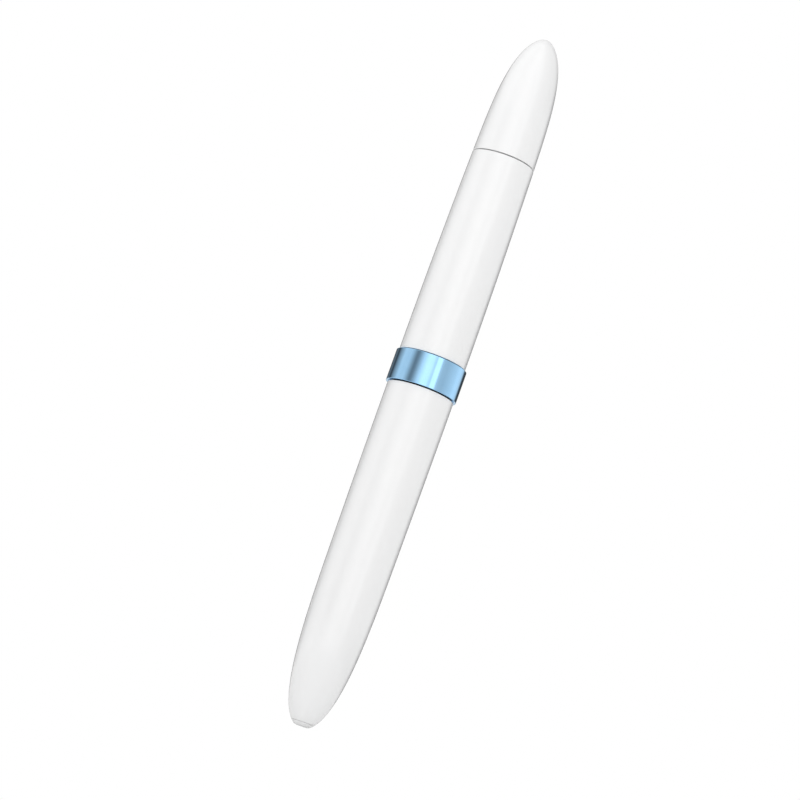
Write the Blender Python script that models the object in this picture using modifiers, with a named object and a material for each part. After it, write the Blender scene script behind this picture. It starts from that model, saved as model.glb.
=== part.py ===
"""A slim cordless 3D pen, standing on its tail along +Z, with the cap on.

The filament goes in at the tail, runs past the cell and the gearmotor in a
PTFE tube, is driven by a feed screw and a sprung roller, and melts in the
hot end under the cap. The controls and the charging port face +Y.
All driving sizes below are in millimetres.
"""

import math

import bmesh
import bpy
from mathutils import Matrix, Vector

MM = 0.001
GAP = 0.3            # clearance between pieces that seat on each other
SMALL_GAP = 0.15     # clearance under soldered parts
ROUND = 32           # sides of the large turned pieces
FINE = 20            # sides of the middling turned pieces
SMALL = 12           # sides of the small turned pieces

# outer form
REAR_LENGTH = 89.3       # tail face to trim ring
RING_HEIGHT = 8.3
FRONT_LENGTH = 55.0      # trim ring to cap seam
CAP_LENGTH = 33.9        # cap seam to the top of the dome
BODY_RADIUS = 8.75       # widest, just above the ring
RING_PROUD = 0.55        # how far the ring stands out of the barrel
TAIL_TAPER = 0.845       # how much slimmer the barrel gets towards the tail
CAP_TAPER = 1.49         # and towards the cap
TAIL_OGIVE = 50.5        # length of the rounded tail
TAIL_CUT = 0.52          # what the flat tail face cuts off the ogive
TAIL_POWERS = (4.0, 2.27)
DOME_LENGTH = 35.2       # length of the rounded cap end
DOME_POWERS = (3.94, 1.84)
WALL = 1.3

# tail: dust plug, inlet bush, guide tube
PLUG_THICKNESS = 0.8
PLUG_EDGE = 0.25
PLUG_STEM_RADIUS = 0.85
PLUG_STEM_LENGTH = 4.2
TAIL_WALL = 3.4
BUSH_RADIUS = 1.7
BUSH_BORE = 1.15
BUSH_LENGTH = 5.0
TUBE_RADIUS = 1.3
TUBE_BORE = 1.0
TUBE_BEND = 17.0         # length over which the tube moves out past the cell

# power: cell, cushion, carrier, charging board and port
CELL_RADIUS = 5.0
CELL_LENGTH = 43.5
CELL_NUB_RADIUS = 1.6
CELL_NUB_HEIGHT = 0.8
CUSHION_THICKNESS = 2.2
CARRIER_THICKNESS = 1.5
PORT_WIDTH = 8.94        # along the pen
PORT_HEIGHT = 3.26       # across the pen
PORT_DEPTH = 7.3
PORT_SHELL = 0.3
PORT_MOUTH_DEPTH = 6.2
PORT_TONGUE_WIDTH = 6.7
PORT_TONGUE_HEIGHT = 0.7
BOARD_THICKNESS = 0.8

# joint between the barrels
SLEEVE_WALL = 0.75
SLEEVE_REACH = 2.2       # how far the sleeve goes into each barrel
RING_WALL = 1.25

# drive
MOTOR_RADIUS = 4.0
MOTOR_Y = 1.0
MOTOR_LENGTH = 14.0
GEARBOX_LENGTH = 16.0
BOSS_RADIUS = 2.0
BOSS_LENGTH = 1.0
SHAFT_RADIUS = 0.9
SCREW_RADIUS = 2.7
SCREW_LENGTH = 7.0
SCREW_PITCH = 1.4
SCREW_GROOVE = 0.4
SCREW_JOURNAL = 2.8
FILAMENT_RADIUS = 0.875
BITE = 0.15              # how deep the screw and the roller bite
TUBE_DRIVE_BEND = 11.0
ROLLER_RADIUS = 1.6
ROLLER_WIDTH = 1.8
AXLE_RADIUS = 0.5
PIVOT_RADIUS = 0.6
LEVER_ARM = 7.1
LEVER_CHEEK = 0.7
LEVER_DEPTH = 1.9
LEAF_WIDTH = 1.8
LEAF_THICKNESS = 0.25
SCREW_BUSH_RADIUS = 2.2
SCREW_BUSH_LENGTH = 2.0

# cradle that carries the drive, and the main board on it
CRADLE_WALL = 1.0
CRADLE_TOP = 4.1         # flat face under the main board
WEB = 2.0
BEARING_WEB = 5.2
FRONT_WEB = 2.7
FIXING_RADIUS = 0.5
FIXING_HEAD_RADIUS = 0.9
FIXING_HEAD = 0.5
FIXING_LENGTH = 3.2
FIXING_X = 2.8
SWITCH_SIZE = 3.2
SWITCH_HEIGHT = 0.55
SWITCH_ACTUATOR = 0.2
CHIP_WIDTH = 1.9

# controls
BUTTON_PROUD = 0.25
BUTTON_WIDTH = 4.6
FEED_BUTTON_LENGTH = 7.4
REVERSE_BUTTON_LENGTH = 5.4
BUTTON_TRAVEL = 0.25
BUTTON_TAB = 0.7
BUTTON_TAB_WIDTH = 2.2
BUTTON_TAB_THICKNESS = 0.3
KNOB_LENGTH = 3.2
KNOB_WIDTH = 2.6
KNOB_TRAVEL = 1.8        # each way from the middle
PIPE_RADIUS = 0.8
LEAD_RADIUS = 0.35

# nose and hot end
SPIGOT_LENGTH = 5.0
SEAT_RADIUS = 6.35
SEAT_LENGTH = 7.4
NOSE_TIP_RADIUS = 4.6
NOSE_LENGTH = 20.4       # seam to the front face of the nose
NOSE_WALL = 1.0
SEAL_RADIUS = 0.42
SEAL_HEIGHT = 2.9        # of the seal above the seam
COLLAR_LENGTH = 3.0
BREAK_RADIUS = 1.6
BREAK_BORE = 1.0
HEATER_LENGTH = 9.0
HEATER_WALL = 0.7
INSULATION_WALL = 0.5
NOZZLE_RADIUS = 1.9
NOZZLE_SHANK = 7.5
NOZZLE_LENGTH = 13.5
NOZZLE_TIP_RADIUS = 0.6
NOZZLE_BORE = 0.35
BEAD_RADIUS = 0.6
BEAD_LENGTH = 3.0

# heights worked out from the sizes above
RING_LOW = REAR_LENGTH
RING_TOP = RING_LOW + RING_HEIGHT
SEAM = RING_TOP + FRONT_LENGTH
LENGTH = SEAM + CAP_LENGTH
MIDDLE = RING_TOP + 3.6
RING_RADIUS = BODY_RADIUS + RING_PROUD
FRONT_END = SEAM - GAP / 2
TAIL_FACE = PLUG_THICKNESS + GAP

PORT_TOP = RING_LOW - SLEEVE_REACH - 0.9
PORT_LOW = PORT_TOP - PORT_WIDTH
PORT_Z = (PORT_LOW + PORT_TOP) / 2
CARRIER_TOP = PORT_LOW - GAP
CARRIER_LOW = CARRIER_TOP - CARRIER_THICKNESS
CELL_TOP = CARRIER_LOW - GAP - CELL_NUB_HEIGHT
CELL_LOW = CELL_TOP - CELL_LENGTH
CUSHION_TOP = CELL_LOW - GAP
CUSHION_LOW = CUSHION_TOP - CUSHION_THICKNESS

MOTOR_LOW = PORT_TOP + 1.5
GEARBOX_LOW = MOTOR_LOW + MOTOR_LENGTH + GAP
GEARBOX_TOP = GEARBOX_LOW + GEARBOX_LENGTH
TUBE_END = GEARBOX_TOP - 1.8 + TUBE_DRIVE_BEND
SCREW_LOW = TUBE_END + GAP + 0.1
SCREW_TOP = SCREW_LOW + SCREW_LENGTH
BEARING_LOW = SCREW_TOP + GAP
BUSH_LOW = BEARING_LOW + GAP
BUSH_TOP = BUSH_LOW + SCREW_BUSH_LENGTH
BEARING_TOP = BEARING_LOW + BEARING_WEB
ROLLER_Z = (SCREW_LOW + SCREW_TOP) / 2
PIVOT_Z = ROLLER_Z + LEVER_ARM

CRADLE_LOW = RING_TOP + SLEEVE_REACH + 0.6
CRADLE_END = FRONT_END - SPIGOT_LENGTH - GAP - 0.2
BOARD_LOW = GEARBOX_TOP + BOSS_LENGTH + 0.6
FEED_Z = CRADLE_END - GAP - BUTTON_TAB - FEED_BUTTON_LENGTH / 2
BUTTON_SPACING = (FEED_BUTTON_LENGTH + REVERSE_BUTTON_LENGTH) / 2 + 2 * BUTTON_TAB + 0.4
REVERSE_Z = FEED_Z - BUTTON_SPACING
LAMP_Z = REVERSE_Z - REVERSE_BUTTON_LENGTH / 2 - BUTTON_TAB - 0.5 - PIPE_RADIUS
SPEED_Z = LAMP_Z - PIPE_RADIUS - 0.7 - KNOB_LENGTH / 2 - KNOB_TRAVEL - GAP

NOSE_TOP = SEAM + NOSE_LENGTH
COLLAR_LOW = FRONT_END
COLLAR_TOP = COLLAR_LOW + COLLAR_LENGTH
HEATER_TOP = NOSE_TOP - 3.0
HEATER_LOW = HEATER_TOP - HEATER_LENGTH
NOZZLE_LOW = HEATER_TOP - 2.0
NOZZLE_TOP = NOZZLE_LOW + NOZZLE_LENGTH

# places across the pen
FILAMENT_Y = MOTOR_Y - SCREW_RADIUS - FILAMENT_RADIUS + BITE
ROLLER_Y = FILAMENT_Y - FILAMENT_RADIUS + BITE - ROLLER_RADIUS
TUBE_MOTOR_Y = MOTOR_Y - MOTOR_RADIUS - 0.4 - TUBE_RADIUS
CELL_Y = 1.55
TUBE_CELL_Y = CELL_Y - CELL_RADIUS - 0.25 - TUBE_RADIUS
BOARD_FACE = CRADLE_TOP + GAP + BOARD_THICKNESS
SWITCH_TOP = BOARD_FACE + SMALL_GAP + SWITCH_HEIGHT + SWITCH_ACTUATOR
BUTTON_BASE = SWITCH_TOP + BUTTON_TRAVEL + 0.05


def body_radius(z, inset=0.0):
    """Radius of the pen's outer form at height z, or of a surface inset from it."""
    if z < MIDDLE:
        taper = TAIL_TAPER * ((MIDDLE - z) / MIDDLE) ** 2
        along = (TAIL_OGIVE - z) / (TAIL_OGIVE + TAIL_CUT - inset)
        bend, shoulder = TAIL_POWERS
    else:
        taper = CAP_TAPER * ((z - MIDDLE) / (LENGTH - MIDDLE)) ** 2
        along = (z - LENGTH + DOME_LENGTH) / (DOME_LENGTH - inset)
        bend, shoulder = DOME_POWERS
    full = BODY_RADIUS - inset - taper
    along = min(max(along, 0.0), 1.0)
    return full * (1.0 - along ** bend) ** (1.0 / shoulder)


def bore_radius(z):
    """Radius of the barrels' bore at height z."""
    return body_radius(z, WALL)


def spread(low, high, count):
    """Evenly spaced heights from high down to low."""
    return [high - (high - low) * i / (count - 1) for i in range(count)]


def eased(z, start, end):
    """0 before start, 1 after end, two equal arcs in between."""
    t = min(max((z - start) / (end - start), 0.0), 1.0)
    return 2 * t * t if t < 0.5 else 1 - 2 * (1 - t) ** 2


def filament_y(z):
    """Where the filament runs, across the pen, at height z."""
    y = TUBE_CELL_Y * eased(z, CUSHION_LOW - TUBE_BEND, CUSHION_LOW)
    y += (TUBE_MOTOR_Y - TUBE_CELL_Y) * eased(z, CELL_TOP, MOTOR_LOW)
    y += (FILAMENT_Y - TUBE_MOTOR_Y) * eased(z, TUBE_END - TUBE_DRIVE_BEND, TUBE_END)
    y -= FILAMENT_Y * eased(z, BUSH_TOP + 0.5, COLLAR_LOW - 1.8)
    return y


def paint(name, colour, roughness, metallic=0.0):
    """A plain shaded finish."""
    finish = bpy.data.materials.new(name)
    finish.use_nodes = True
    shader = finish.node_tree.nodes["Principled BSDF"]
    shader.inputs["Base Color"].default_value = (*colour, 1.0)
    shader.inputs["Roughness"].default_value = roughness
    shader.inputs["Metallic"].default_value = metallic
    finish.diffuse_color = (*colour, 1.0)
    return finish


def start():
    """Empties the scene and makes the two collections."""
    for old in list(bpy.data.objects):
        bpy.data.objects.remove(old, do_unlink=True)
    made = []
    for name in ("three_d_pen", "cutters"):
        group = bpy.data.collections.new(name)
        bpy.context.scene.collection.children.link(group)
        made.append(group)
    return made


PEN, CUTTERS = start()

WHITE = paint("gloss_white_shell", (0.93, 0.93, 0.93), 0.12)
BLUE = paint("blue_anodised_ring", (0.18, 0.42, 0.68), 0.15, 1.0)
INNER = paint("black_moulding", (0.03, 0.03, 0.035), 0.45)
NOSE = paint("heatproof_nose", (0.75, 0.75, 0.74), 0.4)
PTFE = paint("ptfe", (0.9, 0.9, 0.88), 0.35)
RUBBER = paint("silicone", (0.25, 0.26, 0.28), 0.6)
FOAM = paint("foam", (0.05, 0.05, 0.05), 0.95)
WRAP = paint("cell_wrap", (0.05, 0.25, 0.45), 0.3)
STEEL = paint("steel", (0.62, 0.62, 0.63), 0.25, 1.0)
BRASS = paint("brass", (0.8, 0.6, 0.25), 0.25, 1.0)
BOARD = paint("circuit_board", (0.02, 0.16, 0.08), 0.4)
CHIP = paint("black_epoxy", (0.02, 0.02, 0.02), 0.35)
CERAMIC = paint("ceramic", (0.88, 0.86, 0.8), 0.5)
FIBRE = paint("glass_sleeve", (0.8, 0.72, 0.5), 0.8)
CLEAR = paint("light_guide", (0.85, 0.9, 0.95), 0.1)
RED = paint("red_insulation", (0.6, 0.03, 0.03), 0.4)
BLACK = paint("black_insulation", (0.02, 0.02, 0.02), 0.4)


def place(name, mesh, finish, origin=(0, 0, 0), group=PEN):
    """Puts a mesh in the scene with its origin at a point given in millimetres."""
    piece = bpy.data.objects.new(name, mesh)
    piece.location = Vector(origin) * MM
    if finish:
        mesh.materials.append(finish)
    group.objects.link(piece)
    if group is CUTTERS:
        piece.hide_render = True
        piece.display_type = "WIRE"
    return piece


def finished(shape, name):
    """Turns a bmesh into a smooth-shaded mesh."""
    mesh = bpy.data.meshes.new(name)
    shape.to_mesh(mesh)
    shape.free()
    mesh.shade_smooth()
    mesh.set_sharp_from_angle(angle=math.radians(35))
    return mesh


def turned(name, outline, finish, sides=ROUND, axis_y=0.0, ring=False, group=PEN):
    """Turns an outline of (radius, height) points round a line along Z.

    The outline runs down the outer side. A ring's outline closes on itself.
    """
    mesh = bpy.data.meshes.new(name)
    points = [(r * MM, 0, z * MM) for r, z in outline]
    edges = [(i, i + 1) for i in range(len(points) - 1)]
    if ring:
        edges.append((len(points) - 1, 0))
    mesh.from_pydata(points, edges, [])
    piece = place(name, mesh, finish, (0, axis_y, 0), group)
    turn = piece.modifiers.new("Turn", "SCREW")
    turn.steps = sides
    turn.render_steps = sides
    turn.use_merge_vertices = True
    turn.merge_threshold = 0.00001
    return piece


def rod(name, radius, start, end, finish, sides=SMALL, group=PEN, origin=None):
    """A round bar between two points, with its origin at its middle unless given."""
    start, end = Vector(start), Vector(end)
    middle = (start + end) / 2 if origin is None else Vector(origin)
    shape = bmesh.new()
    bmesh.ops.create_cone(shape, cap_ends=True, segments=sides, radius1=radius * MM,
                          radius2=radius * MM, depth=(end - start).length * MM)
    turn = (end - start).to_track_quat("Z", "Y").to_matrix().to_4x4()
    shift = Matrix.Translation(((start + end) / 2 - middle) * MM)
    shape.transform(shift @ turn)
    return place(name, finished(shape, name), finish, middle, group)


def block(name, low, high, finish, group=PEN, edge=0.0):
    """A box between two corners, with rounded edges if edge is given."""
    low, high = Vector(low), Vector(high)
    shape = bmesh.new()
    bmesh.ops.create_cube(shape, size=1.0, matrix=Matrix.Diagonal((high - low) * MM).to_4x4())
    piece = place(name, finished(shape, name), finish, (low + high) / 2, group)
    if edge:
        soften(piece, edge)
    return piece


def soften(piece, width, segments=2):
    """Rounds a piece's sharp edges."""
    bevel = piece.modifiers.new("Edges", "BEVEL")
    bevel.width = width * MM
    bevel.segments = segments
    bevel.limit_method = "ANGLE"
    bevel.angle_limit = math.radians(50)


def key(name, length, width, base, top, z, finish, group=PEN, edge=0.0):
    """A round-ended key lying along Z that stands from y = base to y = top."""
    shape = bmesh.new()
    half_step = Matrix.Rotation(math.pi / FINE, 4, "Z")
    bmesh.ops.create_circle(shape, cap_ends=True, segments=FINE, radius=width / 2 * MM,
                            matrix=half_step)
    stretch = (length - width) / 2 * MM
    for corner in shape.verts:
        corner.co.y += math.copysign(stretch, corner.co.y)
    shape.transform(Matrix.Rotation(-math.pi / 2, 4, "X"))
    swept = bmesh.ops.extrude_face_region(shape, geom=list(shape.faces))
    rising = [g for g in swept["geom"] if isinstance(g, bmesh.types.BMVert)]
    bmesh.ops.translate(shape, verts=rising, vec=(0, (top - base) * MM, 0))
    bmesh.ops.recalc_face_normals(shape, faces=shape.faces)
    piece = place(name, finished(shape, name), finish, (0, base, z), group)
    if edge:
        soften(piece, edge)
    return piece


def wire(name, points, radius, finish, bore=0.0):
    """A round wire along a path, or a tube when a bore is given."""
    curve = bpy.data.curves.new(name, "CURVE")
    curve.dimensions = "3D"
    curve.bevel_depth = radius * MM
    curve.bevel_resolution = 2
    curve.use_fill_caps = not bore
    path = curve.splines.new("POLY")
    path.points.add(len(points) - 1)
    for spot, point in zip(path.points, points):
        spot.co = (*(Vector(point) * MM), 1.0)
    piece = bpy.data.objects.new(name, curve)
    curve.materials.append(finish)
    PEN.objects.link(piece)
    if bore:
        wall = piece.modifiers.new("Wall", "SOLIDIFY")
        wall.thickness = (radius - bore) * MM
        wall.offset = -1
    return piece


def cut(piece, cutter):
    """Takes a cutter out of a piece."""
    boolean = piece.modifiers.new("Cut", "BOOLEAN")
    boolean.operation = "DIFFERENCE"
    boolean.object = cutter


def join(piece, tool):
    """Adds a tool's shape to a piece."""
    boolean = piece.modifiers.new("Join", "BOOLEAN")
    boolean.operation = "UNION"
    boolean.object = tool


def shell(name, low, high, floor=None):
    """A barrel's tube between two heights; floor is where a closed tail's bore ends."""
    if floor is None:
        outer = spread(low, high, 9)
        inner = spread(low, high, 9)[::-1]
    else:
        outer = [high - (high - low) * (i / 15) ** 0.6 for i in range(16)]
        inner = spread(floor, high, 9)[::-1]
    outline = [(body_radius(z), z) for z in outer]
    if floor is not None:
        outline += [(BUSH_RADIUS + GAP, low), (BUSH_RADIUS + GAP, floor)]
    outline += [(bore_radius(z), z) for z in inner]
    return turned(name, outline, WHITE, ring=True)


def make_tail():
    """The dust plug, the inlet bush and the tube that guides the filament."""
    top = PLUG_THICKNESS
    plug = [(0, top + PLUG_STEM_LENGTH), (PLUG_STEM_RADIUS, top + PLUG_STEM_LENGTH),
            (PLUG_STEM_RADIUS, top), (body_radius(top), top),
            (body_radius(PLUG_EDGE), PLUG_EDGE), (body_radius(0) - PLUG_EDGE, 0), (0, 0)]
    turned("tail_plug", plug, WHITE)

    bush_top = TAIL_FACE + BUSH_LENGTH
    bush = [(BUSH_RADIUS, bush_top), (BUSH_RADIUS, TAIL_FACE), (BUSH_BORE, TAIL_FACE),
            (BUSH_BORE, bush_top)]
    turned("inlet_bush", bush, BRASS, FINE, ring=True)

    low = bush_top + GAP
    steps = 34
    heights = [low + (TUBE_END - low) * i / steps for i in range(steps + 1)]
    wire("guide_tube", [(0, filament_y(z), z) for z in heights], TUBE_RADIUS, PTFE, TUBE_BORE)


def make_rear_barrel():
    """The rear barrel, with the port's opening on its +Y side."""
    barrel = shell("rear_barrel", TAIL_FACE, RING_LOW - GAP, TAIL_FACE + TAIL_WALL)
    opening = key("port_opening", PORT_WIDTH + 2 * GAP, PORT_HEIGHT + 2 * GAP,
                  bore_radius(PORT_Z) - 2, BODY_RADIUS + 2, PORT_Z, None, CUTTERS)
    cut(barrel, opening)


def make_power():
    """The cell with its cushion and carrier, the charging board and its port."""
    def disc(name, low, high, radius, finish):
        plate = rod(name, radius, (0, 0, low), (0, 0, high), finish, ROUND)
        notch = block(name + "_notch", (-TUBE_RADIUS - GAP, -2 * BODY_RADIUS, low - 1),
                      (TUBE_RADIUS + GAP, TUBE_CELL_Y + TUBE_RADIUS + GAP, high + 1), None,
                      CUTTERS)
        cut(plate, notch)

    disc("cell_cushion", CUSHION_LOW, CUSHION_TOP, bore_radius(CUSHION_LOW) - GAP, FOAM)
    disc("port_carrier", CARRIER_LOW, CARRIER_TOP, bore_radius(CARRIER_LOW) - GAP, INNER)

    top = CELL_TOP + CELL_NUB_HEIGHT
    cell = [(0, top), (CELL_NUB_RADIUS, top), (CELL_NUB_RADIUS, CELL_TOP),
            (CELL_RADIUS - 0.4, CELL_TOP), (CELL_RADIUS, CELL_TOP - 0.4),
            (CELL_RADIUS, CELL_LOW + 0.3), (CELL_RADIUS - 0.3, CELL_LOW), (0, CELL_LOW)]
    turned("lithium_cell", cell, WRAP, axis_y=CELL_Y)

    mouth = body_radius(PORT_Z) - 0.3
    back = mouth - PORT_DEPTH
    port = key("charge_port", PORT_WIDTH, PORT_HEIGHT, back, mouth, PORT_Z, STEEL)
    hollow = key("port_hollow", PORT_WIDTH - 2 * PORT_SHELL, PORT_HEIGHT - 2 * PORT_SHELL,
                 mouth - PORT_MOUTH_DEPTH, mouth + 1, PORT_Z, None, CUTTERS)
    tongue = block("port_tongue", (-PORT_TONGUE_HEIGHT / 2, mouth - PORT_MOUTH_DEPTH - 0.5,
                                   PORT_Z - PORT_TONGUE_WIDTH / 2),
                   (PORT_TONGUE_HEIGHT / 2, mouth - 1.0, PORT_Z + PORT_TONGUE_WIDTH / 2),
                   None, CUTTERS)
    cut(port, hollow)
    join(port, tongue)

    board_x = -PORT_HEIGHT / 2 - SMALL_GAP
    block("charge_board", (board_x - BOARD_THICKNESS, back - 3.5, PORT_LOW),
          (board_x, mouth - 2.0, PORT_TOP + 0.4), BOARD)


def make_waist():
    """The coupling sleeve that joins the barrels, and the ring that dresses it."""
    reach_low, reach_top = RING_LOW - SLEEVE_REACH, RING_TOP + SLEEVE_REACH
    outer = bore_radius(reach_low) - GAP
    inner = outer - SLEEVE_WALL
    land = RING_RADIUS - RING_WALL - GAP
    sleeve = [(outer, reach_top), (outer, RING_TOP), (land, RING_TOP), (land, RING_LOW),
              (outer, RING_LOW), (outer, reach_low), (inner, reach_low), (inner, reach_top)]
    turned("coupling_sleeve", sleeve, INNER, ring=True)

    inside = RING_RADIUS - RING_WALL
    ring = [(inside, RING_TOP), (RING_RADIUS - 0.2, RING_TOP), (RING_RADIUS, RING_TOP - 0.2),
            (RING_RADIUS, RING_LOW + 0.2), (RING_RADIUS - 0.2, RING_LOW), (inside, RING_LOW)]
    turned("trim_ring", ring, BLUE, ring=True)


def make_front_barrel():
    """The front barrel, cut for the two buttons, the slider and the lamp."""
    barrel = shell("front_barrel", RING_TOP + GAP, FRONT_END)
    low, high = bore_radius(SEAM) - 3, BODY_RADIUS + 2
    cutters = [
        key("feed_hole", FEED_BUTTON_LENGTH + 2 * GAP, BUTTON_WIDTH + 2 * GAP, low, high,
            FEED_Z, None, CUTTERS),
        key("reverse_hole", REVERSE_BUTTON_LENGTH + 2 * GAP, BUTTON_WIDTH + 2 * GAP, low,
            high, REVERSE_Z, None, CUTTERS),
        key("speed_slot", KNOB_LENGTH + 2 * KNOB_TRAVEL + 2 * GAP, KNOB_WIDTH + 2 * GAP, low,
            high, SPEED_Z, None, CUTTERS),
        rod("lamp_hole", PIPE_RADIUS + GAP, (0, low, LAMP_Z), (0, high, LAMP_Z), None, SMALL,
            CUTTERS),
    ]
    for cutter in cutters:
        cut(barrel, cutter)


def make_motor():
    """The motor, its gearbox, and the feed screw with its front bush."""
    motor = [(0, MOTOR_LOW + MOTOR_LENGTH), (MOTOR_RADIUS, MOTOR_LOW + MOTOR_LENGTH),
             (MOTOR_RADIUS, MOTOR_LOW + 0.4), (MOTOR_RADIUS - 0.4, MOTOR_LOW), (0, MOTOR_LOW)]
    turned("motor_can", motor, STEEL, FINE, MOTOR_Y)

    boss_top = GEARBOX_TOP + BOSS_LENGTH
    gearbox = [(0, boss_top), (BOSS_RADIUS, boss_top), (BOSS_RADIUS, GEARBOX_TOP),
               (MOTOR_RADIUS, GEARBOX_TOP), (MOTOR_RADIUS, GEARBOX_LOW), (0, GEARBOX_LOW)]
    turned("gearbox_can", gearbox, BRASS, FINE, MOTOR_Y)

    end = SCREW_TOP + SCREW_JOURNAL
    outline = [(0, end), (SHAFT_RADIUS, end), (SHAFT_RADIUS, SCREW_TOP)]
    turns = int(SCREW_LENGTH / SCREW_PITCH)
    for turn in range(turns):
        high = SCREW_TOP - turn * SCREW_LENGTH / turns
        outline += [(SCREW_RADIUS, high - 0.25 * SCREW_PITCH),
                    (SCREW_RADIUS, high - 0.5 * SCREW_PITCH),
                    (SCREW_RADIUS - SCREW_GROOVE, high - 0.85 * SCREW_PITCH)]
    low = boss_top + GAP
    outline += [(SHAFT_RADIUS, SCREW_LOW), (SHAFT_RADIUS, low), (0, low)]
    turned("feed_screw", outline, STEEL, FINE, MOTOR_Y)

    bore = SHAFT_RADIUS + GAP
    bush = [(SCREW_BUSH_RADIUS, BUSH_TOP), (SCREW_BUSH_RADIUS, BUSH_LOW), (bore, BUSH_LOW),
            (bore, BUSH_TOP)]
    turned("screw_bush", bush, BRASS, SMALL, MOTOR_Y, ring=True)


def make_idler():
    """The lever, roller, axle, pivot and leaf spring that press the filament."""
    pivot = (0, ROLLER_Y, PIVOT_Z)
    roller_side = ROLLER_WIDTH / 2
    rod("idler_roller", ROLLER_RADIUS, (-roller_side, ROLLER_Y, ROLLER_Z),
        (roller_side, ROLLER_Y, ROLLER_Z), STEEL, FINE)
    roller_bore = rod("roller_bore", AXLE_RADIUS + GAP, (-5, ROLLER_Y, ROLLER_Z),
                      (5, ROLLER_Y, ROLLER_Z), None, SMALL, CUTTERS)
    cut(bpy.data.objects["idler_roller"], roller_bore)

    inside = roller_side + GAP
    side = inside + LEVER_CHEEK
    low, high = ROLLER_Y - 1.1, ROLLER_Y - 1.1 + LEVER_DEPTH
    shape = bmesh.new()
    size = Vector((2 * side, high - low, LEVER_ARM + 3.0)) * MM
    bmesh.ops.create_cube(shape, size=1.0, matrix=Matrix.Diagonal(size).to_4x4())
    shift = Vector((0, (low + high) / 2 - ROLLER_Y, (ROLLER_Z - PIVOT_Z) / 2)) * MM
    bmesh.ops.translate(shape, verts=shape.verts, vec=shift)
    lever = place("idler_lever", finished(shape, "idler_lever"), INNER, pivot)
    bridge_low, bridge_top = PIVOT_Z - 4.3, PIVOT_Z - 2.3
    fork = block("lever_fork", (-inside, low - 1, ROLLER_Z - 3), (inside, high + 1, bridge_low),
                 None, CUTTERS)
    heel = block("lever_heel", (-inside, low - 1, bridge_top), (inside, high + 1, PIVOT_Z + 3),
                 None, CUTTERS)
    pivot_hole = rod("pivot_hole", PIVOT_RADIUS + GAP, (-9, ROLLER_Y, PIVOT_Z),
                     (9, ROLLER_Y, PIVOT_Z), None, SMALL, CUTTERS)
    for cutter in (fork, heel, roller_bore, pivot_hole):
        cut(lever, cutter)

    rod("roller_axle", AXLE_RADIUS, (-side, ROLLER_Y, ROLLER_Z), (side, ROLLER_Y, ROLLER_Z),
        STEEL)
    reach = math.sqrt(cradle_radius() ** 2 - ROLLER_Y ** 2) - GAP
    rod("idler_pivot", PIVOT_RADIUS, (-reach, ROLLER_Y, PIVOT_Z), (reach, ROLLER_Y, PIVOT_Z),
        STEEL)

    shape = bmesh.new()
    half = LEAF_WIDTH / 2
    bmesh.ops.create_grid(shape, x_segments=1, y_segments=6, size=1.0)
    leaf_low, leaf_top = bridge_low + 0.8, CRADLE_END - FRONT_WEB + 1.5
    touch = low - GAP - LEAF_THICKNESS / 2
    for corner in shape.verts:
        along = (corner.co.y + 1) / 2
        bow = math.sin(along * math.pi / 2)
        corner.co = Vector((corner.co.x * half, touch - 0.3 * bow,
                            leaf_low + (leaf_top - leaf_low) * along)) * MM
    leaf = place("pressure_leaf", finished(shape, "pressure_leaf"), STEEL)
    thick = leaf.modifiers.new("Strip", "SOLIDIFY")
    thick.thickness = LEAF_THICKNESS * MM
    thick.offset = 0


def cradle_radius():
    """The cradle slides in through the front barrel's narrow end."""
    return bore_radius(CRADLE_END) - GAP


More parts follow.
